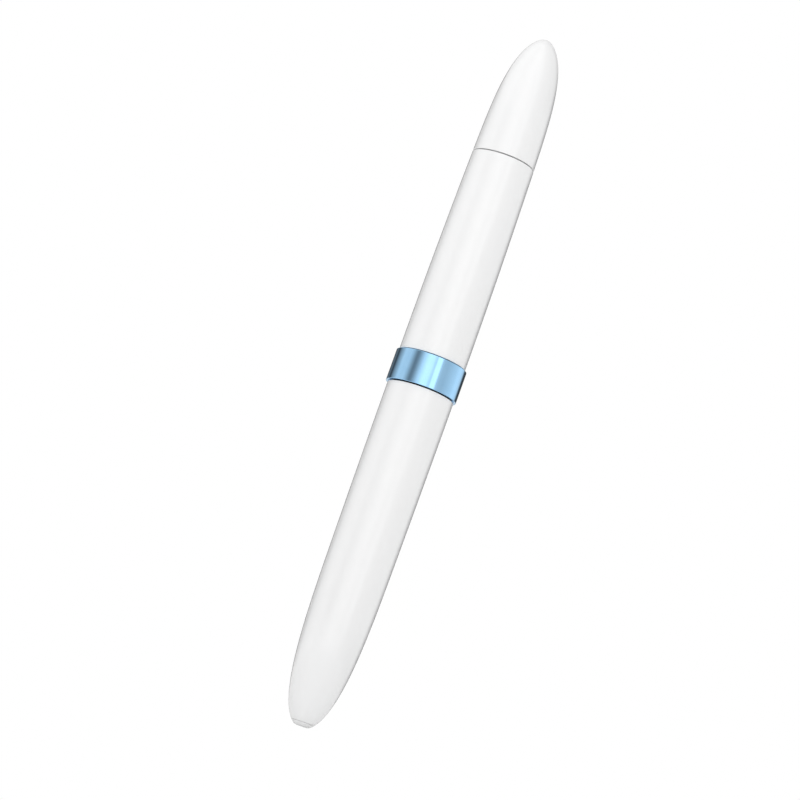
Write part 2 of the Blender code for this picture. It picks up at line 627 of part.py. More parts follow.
def make_cradle():
    """The trough that carries gearbox, bearing and lever, open under the board."""
    radius = cradle_radius()
    cradle = rod("drive_cradle", radius, (0, 0, CRADLE_LOW), (0, 0, CRADLE_END), INNER, ROUND)
    gearbox_web = GEARBOX_TOP - 0.3 - WEB
    front_web = CRADLE_END - FRONT_WEB
    wide = 2 * BODY_RADIUS

    def pocket(name, low, high):
        return rod(name, radius - CRADLE_WALL, (0, 0, low), (0, 0, high), None, ROUND, CUTTERS)

    def bore(name, size, y, low, high):
        return rod(name, size, (0, y, low), (0, y, high), None, FINE, CUTTERS)

    slot = TUBE_RADIUS + GAP
    lever_side = ROLLER_WIDTH / 2 + GAP + LEVER_CHEEK + GAP
    lever_face = ROLLER_Y - 1.1 + LEVER_DEPTH + GAP
    leaf_side = LEAF_WIDTH / 2 + GAP
    guide_low = filament_y(front_web) - slot
    guide_high = filament_y(CRADLE_END) + slot
    cutters = [
        pocket("rear_pocket", CRADLE_LOW + WEB, gearbox_web),
        pocket("screw_pocket", gearbox_web + WEB, BEARING_LOW),
        pocket("guide_pocket", BEARING_TOP, front_web),
        bore("gearbox_bore", MOTOR_RADIUS + GAP, MOTOR_Y, CRADLE_LOW - 1, GEARBOX_TOP + 1),
        bore("tube_groove", slot, TUBE_MOTOR_Y, CRADLE_LOW - 1, TUBE_END - 4),
        bore("bush_bore", SCREW_BUSH_RADIUS + GAP, MOTOR_Y, BEARING_LOW - 1, BUSH_TOP + GAP),
        block("board_side", (-wide, CRADLE_TOP, CRADLE_LOW - 1),
              (wide, wide, CRADLE_END + 1), None, CUTTERS),
        block("lever_window", (-lever_side, -wide, TUBE_END - 2.0),
              (lever_side, lever_face, PIVOT_Z + 2.0), None, CUTTERS),
        block("filament_slot", (-slot, lever_face - 1, BEARING_LOW - 1),
              (slot, FILAMENT_Y + slot + 0.2, BEARING_TOP + 1), None, CUTTERS),
        block("guide_slot", (-slot, guide_low, front_web - 1),
              (slot, guide_high, CRADLE_END + 1), None, CUTTERS),
        block("leaf_slot", (-leaf_side, -wide, PIVOT_Z), (leaf_side, ROLLER_Y - 0.5,
              front_web + 1.5 + GAP), None, CUTTERS),
        rod("pivot_bore", PIVOT_RADIUS + GAP, (-wide, ROLLER_Y, PIVOT_Z),
            (wide, ROLLER_Y, PIVOT_Z), None, SMALL, CUTTERS),
    ]
    for cutter in cutters:
        cut(cradle, cutter)
    for cutter in make_fixings():
        cut(cradle, cutter)


def fixing_places():
    """Where the three board screws stand, as (x, z)."""
    side_z = BUSH_TOP + GAP + 1.3
    return [(-FIXING_X, side_z), (FIXING_X, side_z), (0, CRADLE_END - FRONT_WEB / 2)]


def make_fixings():
    """The screws that hold the main board, and the cutters of their holes."""
    head_low = BOARD_FACE + SMALL_GAP
    holes = []
    for number, (x, z) in enumerate(fixing_places(), 1):
        tip = head_low - FIXING_LENGTH
        outline = [(0, FIXING_HEAD), (FIXING_HEAD_RADIUS - 0.2, FIXING_HEAD),
                   (FIXING_HEAD_RADIUS, FIXING_HEAD - 0.2), (FIXING_HEAD_RADIUS, 0),
                   (FIXING_RADIUS, 0), (FIXING_RADIUS, -FIXING_LENGTH), (0, -FIXING_LENGTH)]
        screw = turned(f"board_screw_{number}", outline, STEEL, SMALL)
        screw.location = Vector((x, head_low, z)) * MM
        screw.rotation_euler = (-math.pi / 2, 0, 0)
        holes.append(rod(f"screw_hole_{number}", FIXING_RADIUS + 0.2, (x, tip - GAP, z),
                         (x, BODY_RADIUS, z), None, SMALL, CUTTERS))
    return holes


def make_board():
    """The main board and what is soldered to it."""
    room = bore_radius(CRADLE_END) - GAP / 2
    side = math.sqrt(room ** 2 - BOARD_FACE ** 2) - 0.1
    board = block("main_board", (-side, BOARD_FACE - BOARD_THICKNESS, BOARD_LOW),
                  (side, BOARD_FACE, CRADLE_END), BOARD)
    for number in (1, 2, 3):
        cut(board, bpy.data.objects[f"screw_hole_{number}"])

    base = BOARD_FACE + SMALL_GAP
    half = SWITCH_SIZE / 2
    for name, z in (("feed_switch", FEED_Z - 0.3), ("reverse_switch", REVERSE_Z)):
        shape = bmesh.new()
        size = Vector((SWITCH_SIZE, SWITCH_HEIGHT, SWITCH_SIZE)) * MM
        bmesh.ops.create_cube(shape, size=1.0, matrix=Matrix.Diagonal(size).to_4x4())
        face = max(shape.faces, key=lambda f: f.calc_center_median().y)
        bmesh.ops.inset_region(shape, faces=[face], thickness=(half - 0.7) * MM)
        raised = bmesh.ops.extrude_discrete_faces(shape, faces=[face])
        lift = [v for f in raised["faces"] for v in f.verts]
        bmesh.ops.translate(shape, verts=lift, vec=(0, SWITCH_ACTUATOR * MM, 0))
        place(name, finished(shape, name), CHIP, (0, base + SWITCH_HEIGHT / 2, z))

    slider = KNOB_LENGTH / 2 + KNOB_TRAVEL
    block("speed_sensor", (-1.6, base, SPEED_Z - slider), (1.6, base + 0.7, SPEED_Z + slider),
          CHIP)
    block("status_lamp", (-0.8, base, LAMP_Z - 0.4), (0.8, base + 0.6, LAMP_Z + 0.4), CLEAR)
    under = BOARD_FACE - BOARD_THICKNESS - SMALL_GAP
    pocket = cradle_radius() - CRADLE_WALL
    side = math.sqrt(pocket ** 2 - CRADLE_TOP ** 2) - GAP
    block("driver_chip", (side - CHIP_WIDTH, under - 0.7, SCREW_LOW - 6.0),
          (side, under, SCREW_LOW - 1.5), CHIP)


def make_controls():
    """The two buttons with their end tabs, the speed knob and the light guide."""
    def button(name, length, z):
        top = body_radius(z) + BUTTON_PROUD
        piece = key(name, length, BUTTON_WIDTH, BUTTON_BASE, top, z, WHITE, edge=0.3)
        reach = length / 2 + BUTTON_TAB
        tab = block(name + "_tab", (-BUTTON_TAB_WIDTH / 2, BUTTON_BASE - 0.05, z - reach),
                    (BUTTON_TAB_WIDTH / 2, BUTTON_BASE + BUTTON_TAB_THICKNESS, z + reach),
                    None, CUTTERS)
        join(piece, tab)

    button("feed_button", FEED_BUTTON_LENGTH, FEED_Z)
    button("reverse_button", REVERSE_BUTTON_LENGTH, REVERSE_Z)

    top = body_radius(SPEED_Z) + BUTTON_PROUD
    base = BOARD_FACE + SMALL_GAP + 0.7 + 0.2
    knob = key("speed_knob", KNOB_LENGTH, KNOB_WIDTH, base, top, SPEED_Z, WHITE, edge=0.3)
    foot = block("knob_foot", (-1.5, base - 0.02, SPEED_Z - 2.5), (1.5, base + 0.35,
                 SPEED_Z + 2.5), None, CUTTERS)
    join(knob, foot)
    rod("light_guide", PIPE_RADIUS, (0, BOARD_FACE + SMALL_GAP + 0.8, LAMP_Z),
        (0, body_radius(LAMP_Z), LAMP_Z), CLEAR)


def make_leads():
    """Cell leads over the motor, and heater leads through the collar."""
    over = MOTOR_Y + MOTOR_RADIUS + 0.25 + LEAD_RADIUS
    low, high = MOTOR_LOW - 0.6, BOARD_LOW - GAP
    room = bore_radius(RING_LOW - SLEEVE_REACH) - GAP - SLEEVE_WALL - LEAD_RADIUS - 0.1
    side = math.sqrt(room ** 2 - over ** 2)
    for name, start_x, x, finish in (("cell_lead_red", -side, -side, RED),
                                     ("cell_lead_black", 0.3 - LEAD_RADIUS, side, BLACK)):
        heights = [low, low + 1.5, low + 3, low + 5, low + 8, high - 1, high]
        path = []
        for z in heights:
            across = start_x + (x - start_x) * eased(z, low + 1, low + 7)
            path.append((across, over, z))
        wire(name, path, LEAD_RADIUS, finish)

    start_y = CRADLE_TOP - 0.1
    end_y = BREAK_RADIUS + GAP + LEAD_RADIUS + 0.3
    low, high = CRADLE_END + 0.3, HEATER_LOW - 0.3
    for name, x in (("heater_lead_left", -1.1), ("heater_lead_right", 1.1)):
        heights = [low + (high - low) * i / 16 for i in range(17)]
        path = [(x, start_y + (end_y - start_y) * eased(z, COLLAR_TOP, high - 0.5), z)
                for z in heights]
        wire(name, path, LEAD_RADIUS, FIBRE)


def make_hot_end():
    """Front guide, heat break in its collar, heater, insulation and nozzle."""
    low, high = BUSH_TOP + 0.5, COLLAR_LOW - GAP
    heights = [low + (high - low) * i / 10 for i in range(11)]
    wire("front_guide", [(0, filament_y(z), z) for z in heights], TUBE_RADIUS, PTFE, TUBE_BORE)

    collar_radius = nose_bore(COLLAR_TOP) - GAP
    bore = BREAK_RADIUS + GAP
    collar = turned("break_collar", [(collar_radius, COLLAR_TOP), (collar_radius, COLLAR_LOW),
                                     (bore, COLLAR_LOW), (bore, COLLAR_TOP)],
                    NOSE, FINE, ring=True)
    notch = block("lead_notch", (-1.9, BREAK_RADIUS + 1.0, COLLAR_LOW - 1),
                  (1.9, BODY_RADIUS, COLLAR_TOP + 1), None, CUTTERS)
    cut(collar, notch)

    top = NOZZLE_LOW - GAP
    turned("heat_break", [(BREAK_RADIUS, top), (BREAK_RADIUS, COLLAR_LOW),
                          (BREAK_BORE, COLLAR_LOW), (BREAK_BORE, top)], STEEL, SMALL, ring=True)

    inner = NOZZLE_RADIUS + GAP
    outer = inner + HEATER_WALL
    turned("heater_core", [(outer, HEATER_TOP), (outer, HEATER_LOW), (inner, HEATER_LOW),
                           (inner, HEATER_TOP)], CERAMIC, FINE, ring=True)
    inner = outer + GAP
    outer = inner + INSULATION_WALL
    turned("insulation_sleeve", [(outer, HEATER_TOP), (outer, HEATER_LOW),
                                 (inner, HEATER_LOW), (inner, HEATER_TOP)], FIBRE, FINE,
           ring=True)

    shoulder = NOZZLE_LOW + NOZZLE_SHANK
    nozzle = [(NOZZLE_TIP_RADIUS, NOZZLE_TOP), (1.4 * NOZZLE_TIP_RADIUS, NOZZLE_TOP - 1.6),
              (NOZZLE_RADIUS, shoulder + 0.8), (NOZZLE_RADIUS, NOZZLE_LOW),
              (BREAK_BORE, NOZZLE_LOW), (BREAK_BORE, NOZZLE_TOP - 2.6),
              (NOZZLE_BORE, NOZZLE_TOP - 1.6), (NOZZLE_BORE, NOZZLE_TOP)]
    turned("nozzle", nozzle, BRASS, FINE, ring=True)

    bead_y = -(BREAK_RADIUS + GAP + BEAD_RADIUS + 0.1)
    rod("thermistor", BEAD_RADIUS, (0, bead_y, HEATER_LOW - 0.4 - BEAD_LENGTH),
        (0, bead_y, HEATER_LOW - 0.4), CERAMIC, SMALL)


def nose_bore(z):
    """Inner radius of the nose cone: wide at the collar, close round the heater."""
    tight = NOZZLE_RADIUS + HEATER_WALL + INSULATION_WALL + 3 * GAP
    wide = SEAT_RADIUS - NOSE_WALL
    t = min(max((z - COLLAR_TOP) / (HEATER_LOW - COLLAR_TOP), 0.0), 1.0)
    return wide + (tight - wide) * t


def make_nose():
    """The nose cone with its spigot and seal groove, and the cap's seal."""
    low = FRONT_END - SPIGOT_LENGTH
    spigot = bore_radius(FRONT_END) - GAP
    seat_top = SEAM + SEAT_LENGTH
    seal = SEAM + SEAL_HEIGHT
    groove = SEAL_RADIUS + 0.15
    outline = [(NOSE_TIP_RADIUS - 0.5, NOSE_TOP), (NOSE_TIP_RADIUS, NOSE_TOP - 0.5),
               (SEAT_RADIUS, seat_top), (SEAT_RADIUS, seal + groove),
               (SEAT_RADIUS - 2 * SEAL_RADIUS + 0.05, seal + groove),
               (SEAT_RADIUS - 2 * SEAL_RADIUS + 0.05, seal - groove),
               (SEAT_RADIUS, seal - groove), (SEAT_RADIUS, FRONT_END), (spigot, FRONT_END),
               (spigot, low)]
    mouth = NOZZLE_RADIUS + GAP
    ledge = HEATER_TOP + GAP
    inner = [low, COLLAR_TOP, HEATER_LOW, ledge]
    outline += [(nose_bore(z), z) for z in inner]
    outline += [(mouth, ledge), (mouth, NOSE_TOP)]
    turned("nose_cone", outline, NOSE, ring=True)

    around = SEAT_RADIUS - SEAL_RADIUS + 0.25
    turns = [2 * math.pi * i / 8 for i in range(8)]
    profile = [(around + SEAL_RADIUS * math.cos(a), seal - SEAL_RADIUS * math.sin(a))
               for a in turns]
    turned("cap_seal", profile, RUBBER, ring=True)


def make_cap():
    """The pull-off cap: a straight skirt that closes in a long dome."""
    low = SEAM + GAP / 2
    inside_top = LENGTH - WALL
    outer = [LENGTH - (LENGTH - low) * (i / 15) ** 2 for i in range(1, 16)]
    inner = [inside_top - (inside_top - low) * (i / 11) ** 2 for i in range(1, 12)][::-1]
    outline = [(0, LENGTH)] + [(body_radius(z), z) for z in outer]
    outline += [(bore_radius(z), z) for z in inner] + [(0, inside_top)]
    turned("cap_shell", outline, WHITE)


make_tail()
make_rear_barrel()
make_power()
make_waist()
make_front_barrel()
make_motor()
make_idler()
make_cradle()
make_board()
make_controls()
make_leads()
make_hot_end()
make_nose()
make_cap()
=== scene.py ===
"""A slim cordless 3D pen, standing on its tail with the cap on, in a white studio.

Lengths in the piece sections are millimetres, turned to metres by MM.
The pen's axis is +Z, and the keys and the charging port face +Y.
"""
import math

import bmesh
import bpy
import numpy as np
from mathutils import Matrix, Vector


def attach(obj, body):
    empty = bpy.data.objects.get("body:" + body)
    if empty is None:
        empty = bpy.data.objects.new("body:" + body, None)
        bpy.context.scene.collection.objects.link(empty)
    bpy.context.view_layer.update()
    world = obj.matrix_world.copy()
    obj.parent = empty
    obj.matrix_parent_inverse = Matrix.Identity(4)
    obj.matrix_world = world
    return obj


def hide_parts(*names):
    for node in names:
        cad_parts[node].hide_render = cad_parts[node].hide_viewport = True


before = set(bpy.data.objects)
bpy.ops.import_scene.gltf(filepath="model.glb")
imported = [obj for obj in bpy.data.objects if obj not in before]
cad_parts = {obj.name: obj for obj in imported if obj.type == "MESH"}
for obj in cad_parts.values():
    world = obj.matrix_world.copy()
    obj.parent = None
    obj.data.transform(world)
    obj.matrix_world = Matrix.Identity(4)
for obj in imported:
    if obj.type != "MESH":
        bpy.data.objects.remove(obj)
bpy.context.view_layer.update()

MM = 0.001
scene = bpy.context.scene
scene.view_settings.view_transform = "Standard"
scene.view_settings.look = "None"


def placed(name, data):
    """A new object in the scene."""
    made = bpy.data.objects.new(name, data)
    scene.collection.objects.link(made)
    return made


# ---------------------------------------------------------------- camera
# Low in front of the pen, looking up at it and rolled, so that the pen leans right.

CAMERA_BELOW = math.radians(10.23)
CAMERA_ROLL = math.radians(19.73)
CAMERA_AWAY = 0.98248
AIM_HEIGHT = 0.09515
AIM_RIGHT, AIM_UP = 0.00715, 0.00746       # where that height lies from the view's centre

level_right = Vector((1, 0, 0))
level_up = Vector((0, -math.sin(CAMERA_BELOW), math.cos(CAMERA_BELOW)))
back = Vector((0, -math.cos(CAMERA_BELOW), -math.sin(CAMERA_BELOW)))
right = level_right * math.cos(CAMERA_ROLL) + level_up * math.sin(CAMERA_ROLL)
up = level_up * math.cos(CAMERA_ROLL) - level_right * math.sin(CAMERA_ROLL)
view_from = Vector((0, 0, AIM_HEIGHT)) - right * AIM_RIGHT - up * AIM_UP + back * CAMERA_AWAY

lens = bpy.data.cameras.new("studio_camera")
lens.lens = 175.5
lens.sensor_width = 36.0
lens.clip_start, lens.clip_end = 0.01, 20.0
camera = placed("studio_camera", lens)
turn = Matrix((right, up, back)).transposed()
camera.matrix_world = Matrix.Translation(view_from) @ turn.to_4x4()
scene.camera = camera


# ---------------------------------------------------------------- studio
# A white light tent. A belt of panels and flags at the height of the pen gives the
# polished ring its bands; above and below it they are at half strength.

# azimuth in degrees from the front, positive to the right, and brightness there
BELT = [(-180, 0.30), (-172, 0.05), (-148, 0.26), (-132, 0.08), (-117, 0.52), (-106, 0.80),
        (-97, 1.13), (-72, 1.08), (-64, 0.84), (-57, 0.55), (-50, 0.34),
        (-44, 0.40), (-37, 0.65), (-25, 1.26), (-12, 1.73), (-6, 1.82),
        (6, 1.74), (12, 1.42), (16, 1.32), (19, 1.87), (32, 1.92), (36.5, 1.08), (44, 0.91),
        (57, 0.87), (72, 0.98), (96, 1.18), (106, 1.32), (117, 1.32), (130, 1.10),
        (142, 0.10), (172, 0.05), (180, 0.30)]
TENT = [(-180, 1.60), (-120, 1.85), (-60, 1.72), (-20, 2.00), (10, 1.78), (50, 0.75),
        (90, 0.42), (135, 0.60), (160, 1.50), (180, 1.60)]
BRIGHTEST = 2.0
LAMP_GREY = 0.8          # colour of the tent's light, which scales all these levels
BELT_MIDDLE = 0.19       # height of the belt's middle, as the sine of its elevation
BELT_HALF = 0.12
BELT_FADE = 0.08
BELT_ELSEWHERE = 0.5     # how much of the belt's pattern the rest of the tent shows


def maths(tree, kind, *values):
    """A Math node; each value is a number or a socket."""
    node = tree.nodes.new("ShaderNodeMath")
    node.operation = kind
    for socket, value in zip(node.inputs, values):
        if isinstance(value, (int, float)):
            socket.default_value = value
        else:
            tree.links.new(value, socket)
    return node.outputs[0]


def clamped(tree, value):
    """The value kept between 0 and 1."""
    return maths(tree, "MINIMUM", maths(tree, "MAXIMUM", value, 0.0), 1.0)


def chosen(tree, share, one, other):
    """One value where share is 1, the other where it is 0, and between them a blend."""
    return maths(tree, "ADD", maths(tree, "MULTIPLY", one, share),
                 maths(tree, "MULTIPLY", other, maths(tree, "SUBTRACT", 1.0, share)))


def mixed(tree, share, one, other):
    """A mix of two shaders; share 1 is the other one."""
    mix = tree.nodes.new("ShaderNodeMixShader")
    for socket, source in zip(mix.inputs, (share, one, other)):
        tree.links.new(source, socket)
    return mix.outputs[0]


def light_ramp(tree, turn_share, levels):
    """A ramp of brightness round the tent, as shares of its brightest level."""
    ramp = tree.nodes.new("ShaderNodeValToRGB")
    stops = ramp.color_ramp.elements
    while len(stops) > 1:
        stops.remove(stops[-1])
    for number, (azimuth, level) in enumerate(levels):
        place = azimuth / 360 + 0.5
        stop = stops[0] if number == 0 else stops.new(place)
        stop.position = place
        stop.color = (*[level / BRIGHTEST] * 3, 1)
    tree.links.new(turn_share, ramp.inputs["Fac"])
    return maths(tree, "MULTIPLY", ramp.outputs["Color"], BRIGHTEST)


tent = bpy.data.worlds.new("light_tent")
tent.use_nodes = True
tree = tent.node_tree
tree.nodes.clear()
way = tree.nodes.new("ShaderNodeTexCoord")
parts = tree.nodes.new("ShaderNodeSeparateXYZ")
tree.links.new(way.outputs["Generated"], parts.inputs[0])
across, depth, height = parts.outputs
front = maths(tree, "MULTIPLY", depth, -1.0)
turn_share = maths(tree, "ADD", maths(tree, "DIVIDE", maths(tree, "ARCTAN2", across, front),
                                      2 * math.pi), 0.5)
belt = light_ramp(tree, turn_share, BELT)
around = light_ramp(tree, turn_share, TENT)
off = maths(tree, "ABSOLUTE", maths(tree, "SUBTRACT", height, BELT_MIDDLE))
outside = maths(tree, "DIVIDE", maths(tree, "SUBTRACT", off, BELT_HALF), BELT_FADE)
outside = maths(tree, "MULTIPLY", clamped(tree, outside), 1 - BELT_ELSEWHERE)
lit = chosen(tree, outside, around, belt)
seen = tree.nodes.new("ShaderNodeLightPath")
light = tree.nodes.new("ShaderNodeBackground")
light.inputs["Color"].default_value = (LAMP_GREY, LAMP_GREY, LAMP_GREY, 1)
tree.links.new(lit, light.inputs["Strength"])
backdrop = tree.nodes.new("ShaderNodeBackground")
backdrop.inputs["Strength"].default_value = 1.0
backdrop.inputs["Color"].default_value = (1, 1, 1, 1)
world_out = tree.nodes.new("ShaderNodeOutputWorld")
tree.links.new(mixed(tree, seen.outputs["Is Camera Ray"], light.outputs[0],
                     backdrop.outputs[0]), world_out.inputs["Surface"])
scene.world = tent

# The floor is a round sheet of pale paper that fades into the backdrop. It is open from
# below, because the camera stands lower than it.
FLOOR_FADE_FROM, FLOOR_FADE_TO, FLOOR_RADIUS = 0.12, 0.55, 0.6
FLOOR_DROP = 0.001       # keeps light on the flat that the pen stands on
PAPER = 0.97

sheet = bmesh.new()
bmesh.ops.create_circle(sheet, cap_ends=True, segments=96, radius=FLOOR_RADIUS)
floor_mesh = bpy.data.meshes.new("studio_floor")
sheet.to_mesh(floor_mesh)
sheet.free()
studio_floor = placed("studio_floor", floor_mesh)
studio_floor.location.z = -FLOOR_DROP
paper = bpy.data.materials.new("pale_paper")
paper.use_nodes = True
tree = paper.node_tree
surface = tree.nodes["Principled BSDF"]
surface.inputs["Base Color"].default_value = (PAPER, PAPER, PAPER, 1)
surface.inputs["Roughness"].default_value = 0.9
place = tree.nodes.new("ShaderNodeTexCoord")
length = tree.nodes.new("ShaderNodeVectorMath")
length.operation = "LENGTH"
tree.links.new(place.outputs["Object"], length.inputs[0])
fade = tree.nodes.new("ShaderNodeMapRange")
fade.interpolation_type = "SMOOTHSTEP"
fade.inputs["From Min"].default_value = FLOOR_FADE_FROM
fade.inputs["From Max"].default_value = FLOOR_FADE_TO
tree.links.new(length.outputs["Value"], fade.inputs["Value"])
side = tree.nodes.new("ShaderNodeNewGeometry")
open_share = maths(tree, "MAXIMUM", fade.outputs[0], side.outputs["Backfacing"])
gap = tree.nodes.new("ShaderNodeBsdfTransparent")
tree.links.new(mixed(tree, open_share, surface.outputs[0], gap.outputs[0]),
               tree.nodes["Material Output"].inputs["Surface"])
floor_mesh.materials.append(paper)


# ---------------------------------------------------------------- barrels and cap
# Injection-moulded gloss white ABS: a closed-tail rear barrel, a front barrel that is cut
# for the controls, and a pull-off cap. All three follow one outer form, slightly fuller
# above the ring, and have a 1.3 mm wall.

FORM = {
    "Body Radius": 8.75, "Middle": 101.2, "Length": 186.5,
    "Tail Taper": 0.845, "Tail Ogive": 50.5, "Tail Cut": 0.52, "Tail Bend": 4.0,
    "Tail Shoulder": 2.27,
    "Cap Taper": 1.49, "Dome Length": 35.2, "Dome Bend": 3.94, "Dome Shoulder": 1.84,
}
WALL = 1.3
GAP = 0.3
RING_LOW, RING_TOP, SEAM = 89.3, 97.6, 152.6
FRONT_END = SEAM - GAP / 2
TAIL_FACE = 0.85
TAIL_FLOOR = 4.5
INLET_HOLE = 2.0
LIP = 0.12               # rounding of the moulded edges
SIDES = 160


def form(z, inset=0.0):
    """Radius of the pen's outer form at height z, or of a surface inset from it."""
    if z < FORM["Middle"]:
        taper = FORM["Tail Taper"] * ((FORM["Middle"] - z) / FORM["Middle"]) ** 2
        along = (FORM["Tail Ogive"] - z) / (FORM["Tail Ogive"] + FORM["Tail Cut"] - inset)
        bend, shoulder = FORM["Tail Bend"], FORM["Tail Shoulder"]
    else:
        upper = FORM["Length"] - FORM["Middle"]
        taper = FORM["Cap Taper"] * ((z - FORM["Middle"]) / upper) ** 2
        along = (z - FORM["Length"] + FORM["Dome Length"]) / (FORM["Dome Length"] - inset)
        bend, shoulder = FORM["Dome Bend"], FORM["Dome Shoulder"]
    along = min(max(along, 0.0), 1.0)
    return (FORM["Body Radius"] - inset - taper) * (1.0 - along ** bend) ** (1.0 / shoulder)


def socket_in(tree, name, value, kind="NodeSocketFloat"):
    """Adds a named input to a tree."""
    made = tree.interface.new_socket(name, in_out="INPUT", socket_type=kind)
    if value is not None:
        made.default_value = value
    return made


def new_tree(name, into="Geometry", made="Geometry"):
    """A geometry tree with one named mesh in and one out."""
    tree = bpy.data.node_groups.new(name, "GeometryNodeTree")
    tree.interface.new_socket(into, in_out="INPUT", socket_type="NodeSocketGeometry")
    tree.interface.new_socket(made, in_out="OUTPUT", socket_type="NodeSocketGeometry")
    return tree


def turning_tree():
    """Turns the outline that comes in, vertices of (radius, 0, height), round Z."""
    tree = new_tree("turn_outline", "Outline", "Surface")
    socket_in(tree, "Sides", SIDES, "NodeSocketInt")
    socket_in(tree, "Closed", False, "NodeSocketBool")
    node, link = tree.nodes.new, tree.links.new
    given, out = node("NodeGroupInput"), node("NodeGroupOutput")
    size = node("GeometryNodeAttributeDomainSize")
    link(given.outputs["Outline"], size.inputs["Geometry"])
    points = size.outputs["Point Count"]
    rows = maths(tree, "ADD", points, given.outputs["Closed"])
    columns = maths(tree, "ADD", given.outputs["Sides"], 1.0)
    grid = node("GeometryNodeMeshGrid")
    link(rows, grid.inputs["Vertices X"])
    link(columns, grid.inputs["Vertices Y"])
    index = node("GeometryNodeInputIndex").outputs[0]
    row = maths(tree, "FLOOR", maths(tree, "DIVIDE", maths(tree, "ADD", index, 0.5), columns))
    column = maths(tree, "SUBTRACT", index, maths(tree, "MULTIPLY", row, columns))
    where = node("GeometryNodeInputPosition")
    sample = node("GeometryNodeSampleIndex")
    sample.data_type = "FLOAT_VECTOR"
    link(given.outputs["Outline"], sample.inputs["Geometry"])
    link(where.outputs[0], sample.inputs["Value"])
    link(maths(tree, "MODULO", maths(tree, "ADD", row, 0.01), points), sample.inputs["Index"])
    split = node("ShaderNodeSeparateXYZ")
    link(sample.outputs[0], split.inputs[0])
    angle = maths(tree, "DIVIDE", maths(tree, "MULTIPLY", column, 2 * math.pi),
                  given.outputs["Sides"])
    spot = node("ShaderNodeCombineXYZ")
    link(maths(tree, "MULTIPLY", split.outputs["X"], maths(tree, "SINE", angle)),
         spot.inputs["X"])
    link(maths(tree, "MULTIPLY", split.outputs["X"], maths(tree, "COSINE", angle)),
         spot.inputs["Y"])
    link(split.outputs["Z"], spot.inputs["Z"])
    move = node("GeometryNodeSetPosition")
    link(grid.outputs["Mesh"], move.inputs["Geometry"])
    link(spot.outputs[0], move.inputs["Position"])
    merge = node("GeometryNodeMergeByDistance")
    merge.inputs["Distance"].default_value = 0.000002
    link(move.outputs[0], merge.inputs["Geometry"])
    borders = node("GeometryNodeInputMeshEdgeNeighbors")
    tidy = node("GeometryNodeDeleteGeometry")
    tidy.domain = "EDGE"
    loose = node("FunctionNodeCompare")
    loose.data_type = "INT"
    loose.operation = "EQUAL"
    link(borders.outputs[0], loose.inputs["A"])
    link(merge.outputs[0], tidy.inputs["Geometry"])
    link(loose.outputs[0], tidy.inputs["Selection"])
    link(tidy.outputs[0], out.inputs["Surface"])
    return tree


TURNING = turning_tree()


def form_radius(tree, given, z, inset):
    """The outer form's rule in Math nodes, as form() gives it in Python."""
    def half(taper, span, end, bend, shoulder, along):
        share = maths(tree, "DIVIDE", span, end)
        slim = maths(tree, "MULTIPLY", given[taper], maths(tree, "MULTIPLY", share, share))
        full = maths(tree, "SUBTRACT", given["Body Radius"], inset)
        full = maths(tree, "SUBTRACT", full, slim)
        rest = maths(tree, "SUBTRACT", 1.0,
                     maths(tree, "POWER", clamped(tree, along), given[bend]))
        rest = maths(tree, "MAXIMUM", rest, 0.0)
        curve = maths(tree, "POWER", rest, maths(tree, "DIVIDE", 1.0, given[shoulder]))
        return maths(tree, "MULTIPLY", full, curve)

    below = maths(tree, "SUBTRACT", given["Middle"], z)
    room = maths(tree, "SUBTRACT", maths(tree, "ADD", given["Tail Ogive"], given["Tail Cut"]),
                 inset)
    along = maths(tree, "DIVIDE", maths(tree, "SUBTRACT", given["Tail Ogive"], z), room)
    tail = half("Tail Taper", below, given["Middle"], "Tail Bend", "Tail Shoulder", along)
    above = maths(tree, "MULTIPLY", below, -1.0)
    upper = maths(tree, "SUBTRACT", given["Length"], given["Middle"])
    start = maths(tree, "SUBTRACT", given["Length"], given["Dome Length"])
    along = maths(tree, "DIVIDE", maths(tree, "SUBTRACT", z, start),
                  maths(tree, "SUBTRACT", given["Dome Length"], inset))
    dome = half("Cap Taper", above, upper, "Dome Bend", "Dome Shoulder", along)
    lower = maths(tree, "GREATER_THAN", below, 0.0)
    return chosen(tree, lower, tail, dome)


def finish_off(tree, geometry, material, out):
    """Ends a tree: real geometry in one material."""
    real = tree.nodes.new("GeometryNodeRealizeInstances")
    tree.links.new(geometry, real.inputs[0])
    finish = tree.nodes.new("GeometryNodeSetMaterial")
    tree.links.new(real.outputs[0], finish.inputs["Geometry"])
    tree.links.new(material, finish.inputs["Material"])
    tree.links.new(finish.outputs[0], out.inputs[0])


